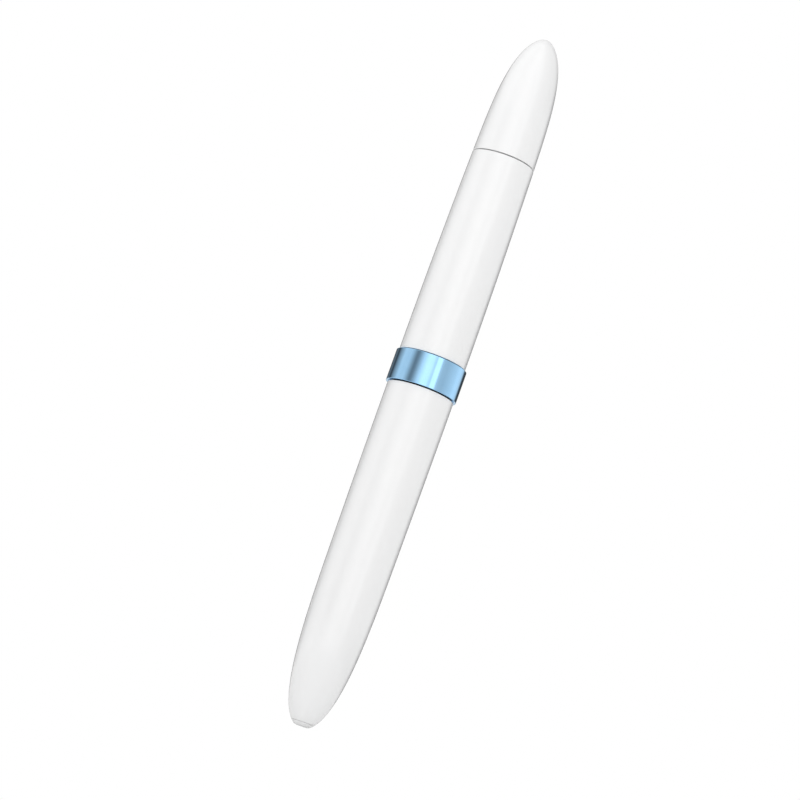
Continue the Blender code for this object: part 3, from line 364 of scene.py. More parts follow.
def shell_tree():
    """A tube of the pen's form: up the outer face, down the bore, and round the rim."""
    tree = new_tree("moulded_shell")
    for name, value in FORM.items():
        socket_in(tree, name, value)
    for name, value in (("Low", 0.0), ("High", 1.0), ("Bore Low", 0.0), ("Bore High", 1.0),
                        ("Wall", WALL), ("Hole", 0.0), ("Lip", LIP)):
        socket_in(tree, name, value)
    socket_in(tree, "Rows", 150, "NodeSocketInt")
    socket_in(tree, "Sides", SIDES, "NodeSocketInt")
    socket_in(tree, "Finish", None, "NodeSocketMaterial")
    node, link = tree.nodes.new, tree.links.new
    entry, out = node("NodeGroupInput"), node("NodeGroupOutput")
    given = {socket.name: socket for socket in entry.outputs}
    line = node("GeometryNodeMeshLine")
    count = maths(tree, "ADD", maths(tree, "MULTIPLY", given["Rows"], 2.0), 2.0)
    link(count, line.inputs["Count"])
    index = node("GeometryNodeInputIndex").outputs[0]
    on_bore = maths(tree, "GREATER_THAN", index, maths(tree, "SUBTRACT", given["Rows"], 0.5))
    on_outer = maths(tree, "SUBTRACT", 1.0, on_bore)
    step = maths(tree, "SUBTRACT", index, maths(tree, "MULTIPLY", on_bore, given["Rows"]))
    share = maths(tree, "DIVIDE", step, maths(tree, "SUBTRACT", given["Rows"], 1.0))
    share = maths(tree, "MINIMUM", share, 1.0)
    eased = maths(tree, "SUBTRACT", 0.5,
                  maths(tree, "MULTIPLY", maths(tree, "COSINE",
                                                maths(tree, "MULTIPLY", share, math.pi)), 0.5))

    def between(low, high):
        span = maths(tree, "SUBTRACT", high, low)
        return maths(tree, "ADD", low, maths(tree, "MULTIPLY", span, eased))

    outer_z = between(given["Low"], given["High"])
    bore_z = between(given["Bore High"], given["Bore Low"])
    z = chosen(tree, on_bore, bore_z, outer_z)
    inset = maths(tree, "MULTIPLY", given["Wall"], on_bore)
    radius = form_radius(tree, given, z, inset)

    ends = maths(tree, "MINIMUM", maths(tree, "SUBTRACT", z, given["Low"]),
                 maths(tree, "SUBTRACT", given["High"], z))
    short = maths(tree, "MAXIMUM", maths(tree, "SUBTRACT", given["Lip"], ends), 0.0)
    reach = maths(tree, "SQRT", maths(tree, "MAXIMUM", maths(
        tree, "SUBTRACT", maths(tree, "MULTIPLY", given["Lip"], given["Lip"]),
        maths(tree, "MULTIPLY", short, short)), 0.0))
    rounding = maths(tree, "MULTIPLY", maths(tree, "SUBTRACT", given["Lip"], reach), on_outer)
    radius = maths(tree, "MAXIMUM", maths(tree, "SUBTRACT", radius, rounding), 0.0)

    last = maths(tree, "MULTIPLY", given["Rows"], 2.0)
    at_hole = maths(tree, "GREATER_THAN", index, maths(tree, "SUBTRACT", last, 0.5))
    at_foot = maths(tree, "GREATER_THAN", index, maths(tree, "ADD", last, 0.5))
    floor_radius = form_radius(tree, given, given["Bore Low"], given["Wall"])
    hole = maths(tree, "ADD", given["Hole"], maths(
        tree, "MULTIPLY", floor_radius, maths(tree, "LESS_THAN", given["Hole"], 0.001)))
    radius = chosen(tree, at_hole, hole, radius)
    z = chosen(tree, at_foot, given["Low"], z)
    spot = node("ShaderNodeCombineXYZ")
    link(maths(tree, "MULTIPLY", radius, MM), spot.inputs["X"])
    link(maths(tree, "MULTIPLY", z, MM), spot.inputs["Z"])
    outline = node("GeometryNodeSetPosition")
    link(line.outputs[0], outline.inputs["Geometry"])
    link(spot.outputs[0], outline.inputs["Position"])
    turning = node("GeometryNodeGroup")
    turning.node_tree = TURNING
    link(outline.outputs[0], turning.inputs["Outline"])
    link(given["Sides"], turning.inputs["Sides"])
    turning.inputs["Closed"].default_value = True
    finish_off(tree, turning.outputs[0], given["Finish"], out)
    return tree


SHELL = shell_tree()


def grown(name, tree, values, start_mesh=None):
    """Runs a tree with the named values and returns its result as a plain mesh."""
    seed = placed(name, start_mesh or bpy.data.meshes.new(name + "_start"))
    modifier = seed.modifiers.new("Grow", "NODES")
    modifier.node_group = tree
    for item in tree.interface.items_tree:
        if item.in_out == "INPUT" and item.name in values:
            modifier[item.identifier] = values[item.name]
    graph = bpy.context.evaluated_depsgraph_get()
    mesh = bpy.data.meshes.new_from_object(seed.evaluated_get(graph))
    bpy.data.objects.remove(seed, do_unlink=True)
    mesh.name = name
    return mesh


def shaded(mesh, angle):
    """Shades a mesh smooth up to an angle in degrees."""
    mesh.shade_smooth()
    mesh.set_sharp_from_angle(angle=math.radians(angle))


def smoothed(mesh, finish, angle=35):
    """Points a closed mesh's faces outwards and shades it smooth up to an angle."""
    shape = bmesh.new()
    shape.from_mesh(mesh)
    bmesh.ops.recalc_face_normals(shape, faces=shape.faces)
    shape.to_mesh(mesh)
    shape.free()
    if not mesh.materials:
        mesh.materials.append(finish)
    shaded(mesh, angle)
    return mesh


def piece(name, mesh, body, slot, *nodes):
    """Puts a finished mesh in the scene for some CAD nodes, riding on a body."""
    made = placed(name, mesh)
    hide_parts(*nodes)
    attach(made, body)


class Finish:
    """A Principled material that is built up from procedural textures."""

    def __init__(self, name, colour, roughness, metallic=0.0):
        self.made = bpy.data.materials.new(name)
        self.made.use_nodes = True
        self.tree = self.made.node_tree
        self.shader = self.tree.nodes["Principled BSDF"]
        self.shader.inputs["Base Color"].default_value = (*colour, 1)
        self.shader.inputs["Roughness"].default_value = roughness
        self.shader.inputs["Metallic"].default_value = metallic
        self.place = self.tree.nodes.new("ShaderNodeTexCoord").outputs["Object"]

    def mapped(self, stretch=(1, 1, 1)):
        """Object coordinates stretched by axis."""
        mapping = self.tree.nodes.new("ShaderNodeMapping")
        mapping.inputs["Scale"].default_value = stretch
        self.tree.links.new(self.place, mapping.inputs["Vector"])
        return mapping.outputs[0]

    def noise(self, scale, detail=3.0, stretch=(1, 1, 1), low=0.35, high=0.65):
        """Noise between 0 and 1, of a scale per metre."""
        noise = self.tree.nodes.new("ShaderNodeTexNoise")
        noise.inputs["Scale"].default_value = scale
        noise.inputs["Detail"].default_value = detail
        self.tree.links.new(self.mapped(stretch), noise.inputs["Vector"])
        spread = self.tree.nodes.new("ShaderNodeMapRange")
        spread.inputs["From Min"].default_value = low
        spread.inputs["From Max"].default_value = high
        self.tree.links.new(noise.outputs[0], spread.inputs["Value"])
        return spread.outputs[0]

    def tint(self, share, other, amount=1.0):
        """Blends the colour towards another one where share is 1."""
        blend = self.tree.nodes.new("ShaderNodeMix")
        blend.data_type = "RGBA"
        socket = self.shader.inputs["Base Color"]
        if socket.is_linked:
            self.tree.links.new(socket.links[0].from_socket, blend.inputs["A"])
        else:
            blend.inputs["A"].default_value = socket.default_value
        blend.inputs["B"].default_value = (*other, 1)
        part = maths(self.tree, "MULTIPLY", share, amount)
        self.tree.links.new(part, blend.inputs["Factor"])
        self.tree.links.new(blend.outputs["Result"], socket)

    def vary_roughness(self, share, low, high):
        """Runs the roughness from low to high with share."""
        span = maths(self.tree, "MULTIPLY", share, high - low)
        value = maths(self.tree, "ADD", span, low)
        self.tree.links.new(value, self.shader.inputs["Roughness"])

    def bump(self, share, depth, strength=1.0):
        """Raises the surface by depth metres where share is 1."""
        bump = self.tree.nodes.new("ShaderNodeBump")
        bump.inputs["Distance"].default_value = depth
        bump.inputs["Strength"].default_value = strength
        self.tree.links.new(share, bump.inputs["Height"])
        if self.shader.inputs["Normal"].is_linked:
            self.tree.links.new(self.shader.inputs["Normal"].links[0].from_socket,
                                bump.inputs["Normal"])
        self.tree.links.new(bump.outputs[0], self.shader.inputs["Normal"])


def gloss_white():
    """Polished white ABS, with faint flow waves, handling haze and fine dust."""
    white = Finish("gloss_white_abs", (0.905, 0.905, 0.905), 0.1)
    white.shader.inputs["IOR"].default_value = 1.5
    white.tint(white.noise(60, 2, (1, 1, 0.35)), (0.88, 0.885, 0.89), 0.35)
    white.tint(white.noise(9000, 2, low=0.72, high=0.80), (0.74, 0.74, 0.73), 0.10)
    white.vary_roughness(white.noise(220, 4, (1, 1, 0.5)), 0.07, 0.15)
    white.bump(white.noise(120, 2, (1, 1, 0.25), 0.2, 0.8), 0.00001, 0.25)
    white.shader.inputs["Coat Weight"].default_value = 0.45
    white.shader.inputs["Coat Roughness"].default_value = 0.03
    return white.made


WHITE = gloss_white()


def shell_mesh(name, **sizes):
    """One shell's mesh; sizes are the tree's inputs with _ for a space."""
    values = {key.replace("_", " "): value for key, value in sizes.items()}
    values["Finish"] = WHITE
    return grown(name, SHELL, values)


def key_outline(length, width, steps=24):
    """Points (x, z) round a key with round ends, lying along Z."""
    radius, reach = width / 2, (length - width) / 2
    turns = [math.pi * (i + 0.5) / steps for i in range(2 * steps)]
    return [(radius * math.cos(a), radius * math.sin(a) + math.copysign(reach, math.sin(a)))
            for a in turns]


def skinned(shape, loops):
    """Closes a shape from loops of points (x, y, z) in millimetres, ends included."""
    rings = [[shape.verts.new([c * MM for c in point]) for point in loop] for loop in loops]
    for one, two in zip(rings, rings[1:]):
        for i in range(len(one)):
            j = (i + 1) % len(one)
            shape.faces.new((one[i], one[j], two[j], two[i]))
    shape.faces.new(rings[0])
    shape.faces.new(rings[-1])
    bmesh.ops.recalc_face_normals(shape, faces=shape.faces)


def as_mesh(shape, name):
    """Turns a finished shape into a mesh and frees it."""
    mesh = bpy.data.meshes.new(name)
    shape.to_mesh(mesh)
    shape.free()
    return mesh


def through_cutter(outline, centre):
    """A straight cutter of an outline, along Y, that reaches through the wall."""
    shape = bmesh.new()
    skinned(shape, [[(x, y, centre + z) for x, z in outline] for y in (CUT_FROM, CUT_TO)])
    return as_mesh(shape, "cutter")


def key_cutter(length, width, centre):
    """A cutter that leaves a gap all round a key."""
    return through_cutter(key_outline(length + 2 * GAP, width + 2 * GAP), centre)


def cut_out(mesh, cutters):
    """The mesh with the cutters taken out of it."""
    body = placed("being_cut", mesh)
    tools = []
    for cutter in cutters:
        tool = placed("cutter", cutter)
        tools.append(tool)
        cut = body.modifiers.new("Cut", "BOOLEAN")
        cut.operation = "DIFFERENCE"
        cut.object = tool
    graph = bpy.context.evaluated_depsgraph_get()
    result = bpy.data.meshes.new_from_object(body.evaluated_get(graph))
    for used in (body, *tools):
        bpy.data.objects.remove(used, do_unlink=True)
    return result


PORT_Z = RING_LOW - 7.57
PORT_LENGTH, PORT_WIDTH = 8.94, 3.26
FEED_Z, REVERSE_Z, LAMP_Z, SPEED_Z = (
    SEAM - drop for drop in (10.35, 18.55, 23.25, 28.45))
FEED_LENGTH, REVERSE_LENGTH, BUTTON_WIDTH = 7.4, 5.4, 4.6
KNOB_LENGTH, KNOB_WIDTH, KNOB_TRAVEL = 3.2, 2.6, 1.8
PIPE_RADIUS = 0.8
CUT_FROM, CUT_TO = 5.0, 11.0
PLUG_LIP = 0.04

rear = shell_mesh("rear_barrel_shell", Low=TAIL_FACE, High=RING_LOW - GAP,
                  Bore_Low=TAIL_FLOOR, Bore_High=RING_LOW - GAP, Hole=INLET_HOLE, Lip=PLUG_LIP)
rear = smoothed(rear, WHITE)
rear = cut_out(rear, [key_cutter(PORT_LENGTH, PORT_WIDTH, PORT_Z)])
piece("rear_barrel_shell", smoothed(rear, WHITE), "housing", "gloss_white_shell",
      "rear_barrel")

fore = shell_mesh("front_barrel_shell", Low=RING_TOP + GAP, High=FRONT_END,
                  Bore_Low=RING_TOP + GAP, Bore_High=FRONT_END, Lip=LIP)
fore = smoothed(fore, WHITE)
round_hole = [(math.cos(a) * (PIPE_RADIUS + GAP), math.sin(a) * (PIPE_RADIUS + GAP))
              for a in [math.pi * i / 20 for i in range(40)]]
fore = cut_out(fore, [
    key_cutter(FEED_LENGTH, BUTTON_WIDTH, FEED_Z),
    key_cutter(REVERSE_LENGTH, BUTTON_WIDTH, REVERSE_Z),
    key_cutter(KNOB_LENGTH + 2 * KNOB_TRAVEL, KNOB_WIDTH, SPEED_Z),
    through_cutter(round_hole, LAMP_Z),
])
piece("front_barrel_shell", smoothed(fore, WHITE), "housing", "gloss_white_shell",
      "front_barrel")

cap = shell_mesh("cap_outer", Low=SEAM + GAP / 2, High=FORM["Length"],
                 Bore_Low=SEAM + GAP / 2, Bore_High=FORM["Length"] - WALL, Lip=LIP)
piece("cap_outer", smoothed(cap, WHITE), "cap", "gloss_white_shell", "cap_shell")


# ---------------------------------------------------------------- trim ring
# One turned aluminium ring over the joint of the barrels, polished to a mirror and
# anodised bright blue. It stands half a millimetre proud and has finely broken edges.

RING_RADIUS = 9.3
RING_BORE = 8.05
RING_EDGE = 0.1


def turned_mesh(name, outline, finish, sides=SIDES, closed=False, angle=35):
    """A turned piece from an outline of (radius, height) that runs up or down."""
    line = bpy.data.meshes.new(name + "_outline")
    line.from_pydata([(r * MM, 0, z * MM) for r, z in outline], [], [])
    mesh = grown(name, TURNED, {"Sides": sides, "Closed": closed, "Finish": finish}, line)
    return smoothed(mesh, finish, angle)


def turned_tree():
    """Turns an outline into a finished body."""
    tree = new_tree("turned_piece")
    socket_in(tree, "Sides", SIDES, "NodeSocketInt")
    socket_in(tree, "Closed", False, "NodeSocketBool")
    socket_in(tree, "Finish", None, "NodeSocketMaterial")
    node, link = tree.nodes.new, tree.links.new
    given, out = node("NodeGroupInput"), node("NodeGroupOutput")
    turning = node("GeometryNodeGroup")
    turning.node_tree = TURNING
    link(given.outputs["Geometry"], turning.inputs["Outline"])
    link(given.outputs["Sides"], turning.inputs["Sides"])
    link(given.outputs["Closed"], turning.inputs["Closed"])
    finish_off(tree, turning.outputs[0], given.outputs["Finish"], out)
    return tree


TURNED = turned_tree()


def rounded(outline, sizes, steps=5, closed=True):
    """The outline with its corners rounded by one size each."""
    count = len(outline)
    made = []
    for i, corner in enumerate(outline):
        size = sizes[i]
        if not size or (not closed and i in (0, count - 1)):
            made.append(tuple(corner))
            continue
        here = np.array(corner, float)
        before = np.array(outline[i - 1], float) - here
        after = np.array(outline[(i + 1) % count], float) - here
        one, two = before / np.linalg.norm(before), after / np.linalg.norm(after)
        half = math.acos(max(-1.0, min(1.0, float(one @ two)))) / 2
        reach = min(size / math.tan(half), 0.48 * np.linalg.norm(before),
                    0.48 * np.linalg.norm(after))
        start, end = here + one * reach, here + two * reach
        for k in range(steps + 1):
            t = k / steps
            made.append(tuple((1 - t) ** 2 * start + 2 * t * (1 - t) * here + t * t * end))
    return made


def blue_anodising():
    """Mirror-polished aluminium under a blue dye, with hair-fine turning marks."""
    blue = Finish("blue_anodised_aluminium", (0.39, 0.67, 0.94), 0.05, 1.0)
    blue.tint(blue.noise(300, 3, (1, 1, 2)), (0.36, 0.64, 0.92), 0.5)
    blue.vary_roughness(blue.noise(700, 4, (0.4, 0.4, 9)), 0.03, 0.09)
    blue.bump(blue.noise(900, 3, (0.25, 0.25, 8), 0.2, 0.8), 0.000002, 0.2)
    return blue.made


BLUE = blue_anodising()
ring = [(RING_BORE, RING_TOP), (RING_RADIUS, RING_TOP), (RING_RADIUS, RING_LOW),
        (RING_BORE, RING_LOW)]
ring = rounded(ring, [0.1, RING_EDGE, RING_EDGE, 0.1])
piece("polished_ring", turned_mesh("polished_ring", ring, BLUE, 192, True), "housing",
      "blue_ring", "trim_ring")


# ---------------------------------------------------------------- tail plug
# A small push-in dust plug of the same white plastic, with a round-ended stem. Its face
# is the flat that the pen stands on.

PLUG_TOP, STEM_TOP, STEM_RADIUS = 0.8, 5.0, 0.85
plug = [(0, STEM_TOP), (STEM_RADIUS, STEM_TOP), (STEM_RADIUS, PLUG_TOP + 0.5),
        (STEM_RADIUS, PLUG_TOP), (form(PLUG_TOP), PLUG_TOP), (form(0.55), 0.55),
        (form(0.3), 0.3), (form(0.1), 0.1), (form(0) - 0.12, 0), (0, 0)]
plug = rounded(plug, [0, 0.35, 0, 0.12, 0.03, 0, 0, 0, 0.1, 0], closed=False)
piece("dust_plug", turned_mesh("dust_plug", plug, WHITE, 96), "plug", "gloss_white_shell",
      "tail_plug")


# ---------------------------------------------------------------- keys, slider and lamp
# White ABS keys whose crowns follow the barrel, pressed from the outside onto switches.
# The feed key shows a mark towards the nozzle and the reverse key one towards the tail.
# The speed slider is grooved for grip, and a clear rod brings the lamp's light out.

PROUD = 0.25
CROWN_END, CROWN_CROWDING = 0.96, 1.6      # how far in the crown's rings reach and crowd
RIB_PITCH, RIB_DEPTH, KNOB_EDGE, KEY_DISH = 0.8, 0.2, 0.25, 0.14
MARK_TOP, MARK_FOOT, MARK_BLUR = 0.9, 0.7, 0.05
MARK_SLOPE = 1.5
DISH_EASE = 0.9
MARK_INK = (0.20, 0.22, 0.24, 1)
KEY_BASE, KNOB_BASE = 6.55, 6.25
TAB_REACH, TAB_WIDTH, TAB_THICK = 0.7, 2.2, 0.3
FOOT_WIDTH, FOOT_LENGTH, FOOT_THICK = 3.0, 5.0, 0.35


def add_box(shape, low, high):
    """A box between two corners in millimetres, with slightly broken edges."""
    low, high = Vector(low) * MM, Vector(high) * MM
    place = Matrix.Translation((low + high) / 2) @ Matrix.Diagonal(high - low).to_4x4()
    made = bmesh.ops.create_cube(shape, size=1.0, matrix=place)["verts"]
    edges = list({edge for vert in made for edge in vert.link_edges})
    bmesh.ops.bevel(shape, geom=edges, offset=min(high - low) * 0.12, segments=2,
                    affect="EDGES", profile=0.5)


def key_mesh(name, length, width, base, centre, surface, finish, base_plate, rings=14):
    """A round-ended key; surface(x, z, inset) gives its height inside the edge."""
    shape = bmesh.new()
    half = width / 2
    loops = [[(x, base, centre + z) for x, z in key_outline(length, width)]]
    for ring in range(rings):
        inset = half * CROWN_END * (ring / (rings - 1)) ** CROWN_CROWDING
        loops.append([(x, surface(x, z, inset), centre + z)
                      for x, z in key_outline(length - 2 * inset, width - 2 * inset)])
    skinned(shape, loops)
    add_box(shape, *base_plate)
    mesh = as_mesh(shape, name)
    mesh.materials.append(finish)
    shaded(mesh, 40)
    return mesh


def crowned(centre, edge=0.3, dish=0.0, ribs=0.0):
    """A surface that stands proud of the barrel, rounded off within edge of its border."""
    top = form(centre) + PROUD

    def surface(x, z, inset):
        short = max(edge - inset, 0.0)
        rounding = edge - math.sqrt(max(edge * edge - short * short, 0.0))
        height = math.sqrt(top * top - x * x) - rounding
        fade = min(inset / DISH_EASE, 1.0) ** 2
        height -= dish * fade
        return height - ribs * fade * (0.5 + 0.5 * math.cos(z * 2 * math.pi / RIB_PITCH))
    return surface


def marked_white(name, centre, towards):
    """The white of the keys with a small grey printed triangle."""
    finish = gloss_white()
    finish.name = name
    tree = finish.node_tree
    shader = tree.nodes["Principled BSDF"]
    place = tree.nodes.new("ShaderNodeTexCoord")
    parts = tree.nodes.new("ShaderNodeSeparateXYZ")
    tree.links.new(place.outputs["Object"], parts.inputs[0])
    along = maths(tree, "SUBTRACT", parts.outputs["Z"], centre * MM)
    along = maths(tree, "MULTIPLY", along, towards)
    side = maths(tree, "MULTIPLY", maths(tree, "ABSOLUTE", parts.outputs["X"]), MARK_SLOPE)
    sloped = maths(tree, "SUBTRACT", MARK_TOP * MM, maths(tree, "ADD", along, side))
    floor = maths(tree, "ADD", along, MARK_FOOT * MM)
    inside = maths(tree, "DIVIDE", maths(tree, "MINIMUM", sloped, floor), MARK_BLUR * MM)
    ink = tree.nodes.new("ShaderNodeMix")
    ink.data_type = "RGBA"
    tree.links.new(clamped(tree, inside), ink.inputs["Factor"])
    tree.links.new(shader.inputs["Base Color"].links[0].from_socket, ink.inputs["A"])
    ink.inputs["B"].default_value = MARK_INK
    tree.links.new(ink.outputs["Result"], shader.inputs["Base Color"])
    return finish


for name, node, body, length, centre, towards in (
        ("feed_key_cap", "feed_button", "feed_key", FEED_LENGTH, FEED_Z, 1),
        ("reverse_key_cap", "reverse_button", "reverse_key", REVERSE_LENGTH, REVERSE_Z, -1)):
    reach = length / 2 + TAB_REACH
    tab = ((-TAB_WIDTH / 2, KEY_BASE - 0.04, centre - reach),
           (TAB_WIDTH / 2, KEY_BASE + TAB_THICK, centre + reach))
    mesh = key_mesh(name, length, BUTTON_WIDTH, KEY_BASE, centre,
                    crowned(centre, dish=KEY_DISH),
                    marked_white(name + "_white", centre, towards), tab)
    piece(name, mesh, body, "gloss_white_shell", node)

foot = ((-FOOT_WIDTH / 2, KNOB_BASE - 0.02, SPEED_Z - FOOT_LENGTH / 2),
        (FOOT_WIDTH / 2, KNOB_BASE + FOOT_THICK, SPEED_Z + FOOT_LENGTH / 2))
mesh = key_mesh("speed_slider", KNOB_LENGTH, KNOB_WIDTH, KNOB_BASE, SPEED_Z,
                crowned(SPEED_Z, KNOB_EDGE, ribs=RIB_DEPTH), WHITE, foot, 22)
piece("speed_slider", mesh, "speed_key", "gloss_white_shell", "speed_knob")


def clear_rod():
    """Clear polycarbonate, slightly frosted at its end."""
    clear = Finish("clear_polycarbonate", (0.86, 0.91, 0.95), 0.12)
    clear.shader.inputs["Transmission Weight"].default_value = 0.75
    clear.shader.inputs["IOR"].default_value = 1.58
    clear.vary_roughness(clear.noise(2500, 3), 0.10, 0.22)
    return clear.made


CLEAR = clear_rod()
LAMP_BASE = 6.15
lamp_top = form(LAMP_Z) - 0.02
outline = [(0, lamp_top), (PIPE_RADIUS * 0.5, lamp_top - 0.03),
           (PIPE_RADIUS - 0.02, lamp_top - 0.14), (PIPE_RADIUS, lamp_top - 0.3),
           (PIPE_RADIUS, LAMP_BASE), (0, LAMP_BASE)]
mesh = turned_mesh("lamp_window", rounded(outline, [0, 0.2, 0.08, 0.1, 0.05, 0], closed=False),
                   CLEAR, 40)
mesh.transform(Matrix.Translation((0, 0, LAMP_Z * MM)) @ Matrix.Rotation(-math.pi / 2, 4, "X"))
piece("lamp_window", mesh, "housing", "light_guide", "light_guide")


# ---------------------------------------------------------------- charging port
# A deep-drawn stainless shell with round ends, open towards +Y, round a black tongue
# with gold contacts at half-millimetre pitch on both faces.

PORT_MOUTH = form(PORT_Z) - 0.3
PORT_BACK = PORT_MOUTH - 7.3
PORT_INSIDE = PORT_MOUTH - 6.2
PORT_SHELL = 0.3
TONGUE_LENGTH, TONGUE_THICK, TONGUE_END = 6.7, 0.7, 1.0
CONTACTS, CONTACT_PITCH = 12, 0.5


def bright_steel(name="stainless_steel", colour=(0.62, 0.62, 0.63), low=0.16, high=0.3,
                 stretch=(1, 1, 1)):
    """Stainless steel with fine drawing marks along one way."""
    steel = Finish(name, colour, 0.22, 1.0)
    steel.tint(steel.noise(500, 3), tuple(c * 0.86 for c in colour), 0.5)
    steel.vary_roughness(steel.noise(1800, 4, stretch), low, high)
    steel.bump(steel.noise(2600, 3, stretch, 0.2, 0.8), 0.000004, 0.3)
    return steel.made


STEEL = bright_steel(stretch=(3, 0.3, 3))
tongue_black = Finish("tongue_black", (0.02, 0.02, 0.022), 0.4)
tongue_black.vary_roughness(tongue_black.noise(3000), 0.35, 0.5)
contact_gold = Finish("contact_gold", (0.95, 0.70, 0.28), 0.2, 1.0)
contact_gold.vary_roughness(contact_gold.noise(4000), 0.15, 0.3)


def contacts_tree():
    """A row of small strips at an even pitch on both faces of the tongue."""
    tree = new_tree("port_contacts")
    socket_in(tree, "Count", CONTACTS, "NodeSocketInt")
    socket_in(tree, "Pitch", CONTACT_PITCH * MM)
    socket_in(tree, "Face", TONGUE_THICK / 2 * MM)
    socket_in(tree, "Start", (0, 0, 0), "NodeSocketVector")
    socket_in(tree, "Strip", (0.06 * MM, 4.2 * MM, 0.26 * MM), "NodeSocketVector")
    socket_in(tree, "Finish", None, "NodeSocketMaterial")
    node, link = tree.nodes.new, tree.links.new
    given, out = node("NodeGroupInput"), node("NodeGroupOutput")
    strip = node("GeometryNodeMeshCube")
    link(given.outputs["Strip"], strip.inputs["Size"])
    both = node("GeometryNodeJoinGeometry")
    for way in (-1, 1):
        line = node("GeometryNodeMeshLine")
        link(given.outputs["Count"], line.inputs["Count"])
        step, place = node("ShaderNodeCombineXYZ"), node("ShaderNodeCombineXYZ")
        link(given.outputs["Pitch"], step.inputs["Z"])
        link(maths(tree, "MULTIPLY", given.outputs["Face"], way), place.inputs["X"])
        start = node("ShaderNodeVectorMath")
        link(given.outputs["Start"], start.inputs[0])
        link(place.outputs[0], start.inputs[1])
        link(start.outputs[0], line.inputs["Start Location"])
        link(step.outputs[0], line.inputs["Offset"])
        rows = node("GeometryNodeInstanceOnPoints")
        link(line.outputs[0], rows.inputs["Points"])
        link(strip.outputs["Mesh"], rows.inputs["Instance"])
        link(rows.outputs[0], both.inputs[0])
    finish_off(tree, both.outputs[0], given.outputs["Finish"], out)
    return tree


shape = bmesh.new()
wall = [(0.0, PORT_BACK), (0.0, PORT_MOUTH - 0.1), (0.03, PORT_MOUTH - 0.03),
        (0.1, PORT_MOUTH), (PORT_SHELL - 0.08, PORT_MOUTH),
        (PORT_SHELL - 0.02, PORT_MOUTH - 0.03), (PORT_SHELL, PORT_MOUTH - 0.1),
        (PORT_SHELL, PORT_INSIDE)]
skinned(shape, [[(x, y, PORT_Z + z) for x, z in
                 key_outline(PORT_LENGTH - 2 * inset, PORT_WIDTH - 2 * inset)]
                for inset, y in wall])
steel_faces = len(shape.faces)
add_box(shape, (-TONGUE_THICK / 2, PORT_INSIDE - 0.1, PORT_Z - TONGUE_LENGTH / 2),
        (TONGUE_THICK / 2, PORT_MOUTH - TONGUE_END, PORT_Z + TONGUE_LENGTH / 2))
shape.faces.ensure_lookup_table()
for face in shape.faces[steel_faces:]:
    face.material_index = 1
port = as_mesh(shape, "port_shell")
port.materials.append(STEEL)
port.materials.append(tongue_black.made)
shaded(port, 35)
piece("port_shell", port, "housing", "steel", "charge_port")

first = (0, PORT_MOUTH - TONGUE_END - 2.5, PORT_Z - (CONTACTS - 1) / 2 * CONTACT_PITCH)
mesh = grown("port_contacts", contacts_tree(),
             {"Start": [c * MM for c in first], "Finish": contact_gold.made})
contacts = placed("port_contacts", mesh)
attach(contacts, "housing")


# ---------------------------------------------------------------- nose, seal and nozzle
# Under the cap: a satin light grey nose of heat-resistant plastic that plugs into the
# front barrel, a soft ring in its groove that grips the cap, and a turned brass nozzle.

NOSE_TOP, NOSE_TIP = SEAM + 20.4, 4.6
SEAT_RADIUS, SEAT_TOP = 6.35, SEAM + 7.4
SEAL_RADIUS, SEAL_Z = 0.42, SEAM + 2.9
HEATER_TOP, HEATER_LOW, COLLAR_TOP = SEAM + 17.4, SEAM + 8.4, SEAM + 2.85
NOSE_BORE, HEATER_BORE, NOZZLE_HOLE = 5.35, 4.0, 2.2
NOZZLE_LOW, NOZZLE_TOP, NOZZLE_RADIUS = SEAM + 15.4, SEAM + 28.9, 1.9


def satin_grey():
    """Satin light grey moulding with a fine spark-eroded grain."""
    grey = Finish("satin_grey_moulding", (0.78, 0.78, 0.77), 0.38)
    grey.tint(grey.noise(180, 3), (0.72, 0.72, 0.71), 0.4)
    grey.vary_roughness(grey.noise(1500, 3), 0.32, 0.46)
    grey.bump(grey.noise(5200, 2, low=0.25, high=0.75), 0.000012, 0.5)
    return grey.made


NOSE_GREY = satin_grey()
groove = SEAL_RADIUS + 0.15
deep = SEAT_RADIUS - 2 * SEAL_RADIUS + 0.05
spigot = form(FRONT_END, WALL) - GAP
nose = [(NOSE_TIP - 0.5, NOSE_TOP), (NOSE_TIP, NOSE_TOP - 0.5), (SEAT_RADIUS, SEAT_TOP),
        (SEAT_RADIUS, SEAL_Z + groove), (deep, SEAL_Z + groove), (deep, SEAL_Z - groove),
        (SEAT_RADIUS, SEAL_Z - groove), (SEAT_RADIUS, FRONT_END), (spigot, FRONT_END),
        (spigot, FRONT_END - 5.0), (NOSE_BORE, FRONT_END - 5.0), (NOSE_BORE, COLLAR_TOP),
        (HEATER_BORE, HEATER_LOW), (HEATER_BORE, HEATER_TOP + GAP),
        (NOZZLE_HOLE, HEATER_TOP + GAP), (NOZZLE_HOLE, NOSE_TOP)]
soft = [0.25, 0.3, 1.2, 0.1, 0.08, 0.08, 0.1, 0, 0, 0.2, 0.2, 0, 0, 0, 0, 0.15]
piece("nose_moulding", turned_mesh("nose_moulding", rounded(nose, soft), NOSE_GREY, 128, True),
      "housing", "heatproof_nose", "nose_cone")

seal_ring = SEAT_RADIUS - SEAL_RADIUS + 0.25
turns = [2 * math.pi * i / 20 for i in range(20)]
seal = [(seal_ring + SEAL_RADIUS * math.cos(a), SEAL_Z - SEAL_RADIUS * math.sin(a))
        for a in turns]
rubber = Finish("soft_silicone", (0.10, 0.105, 0.11), 0.55)
rubber.vary_roughness(rubber.noise(2200, 3), 0.48, 0.68)
rubber.bump(rubber.noise(4200, 2, low=0.25, high=0.75), 0.000008, 0.4)
piece("seal_ring", turned_mesh("seal_ring", seal, rubber.made, 96, True), "housing",
      "silicone", "cap_seal")


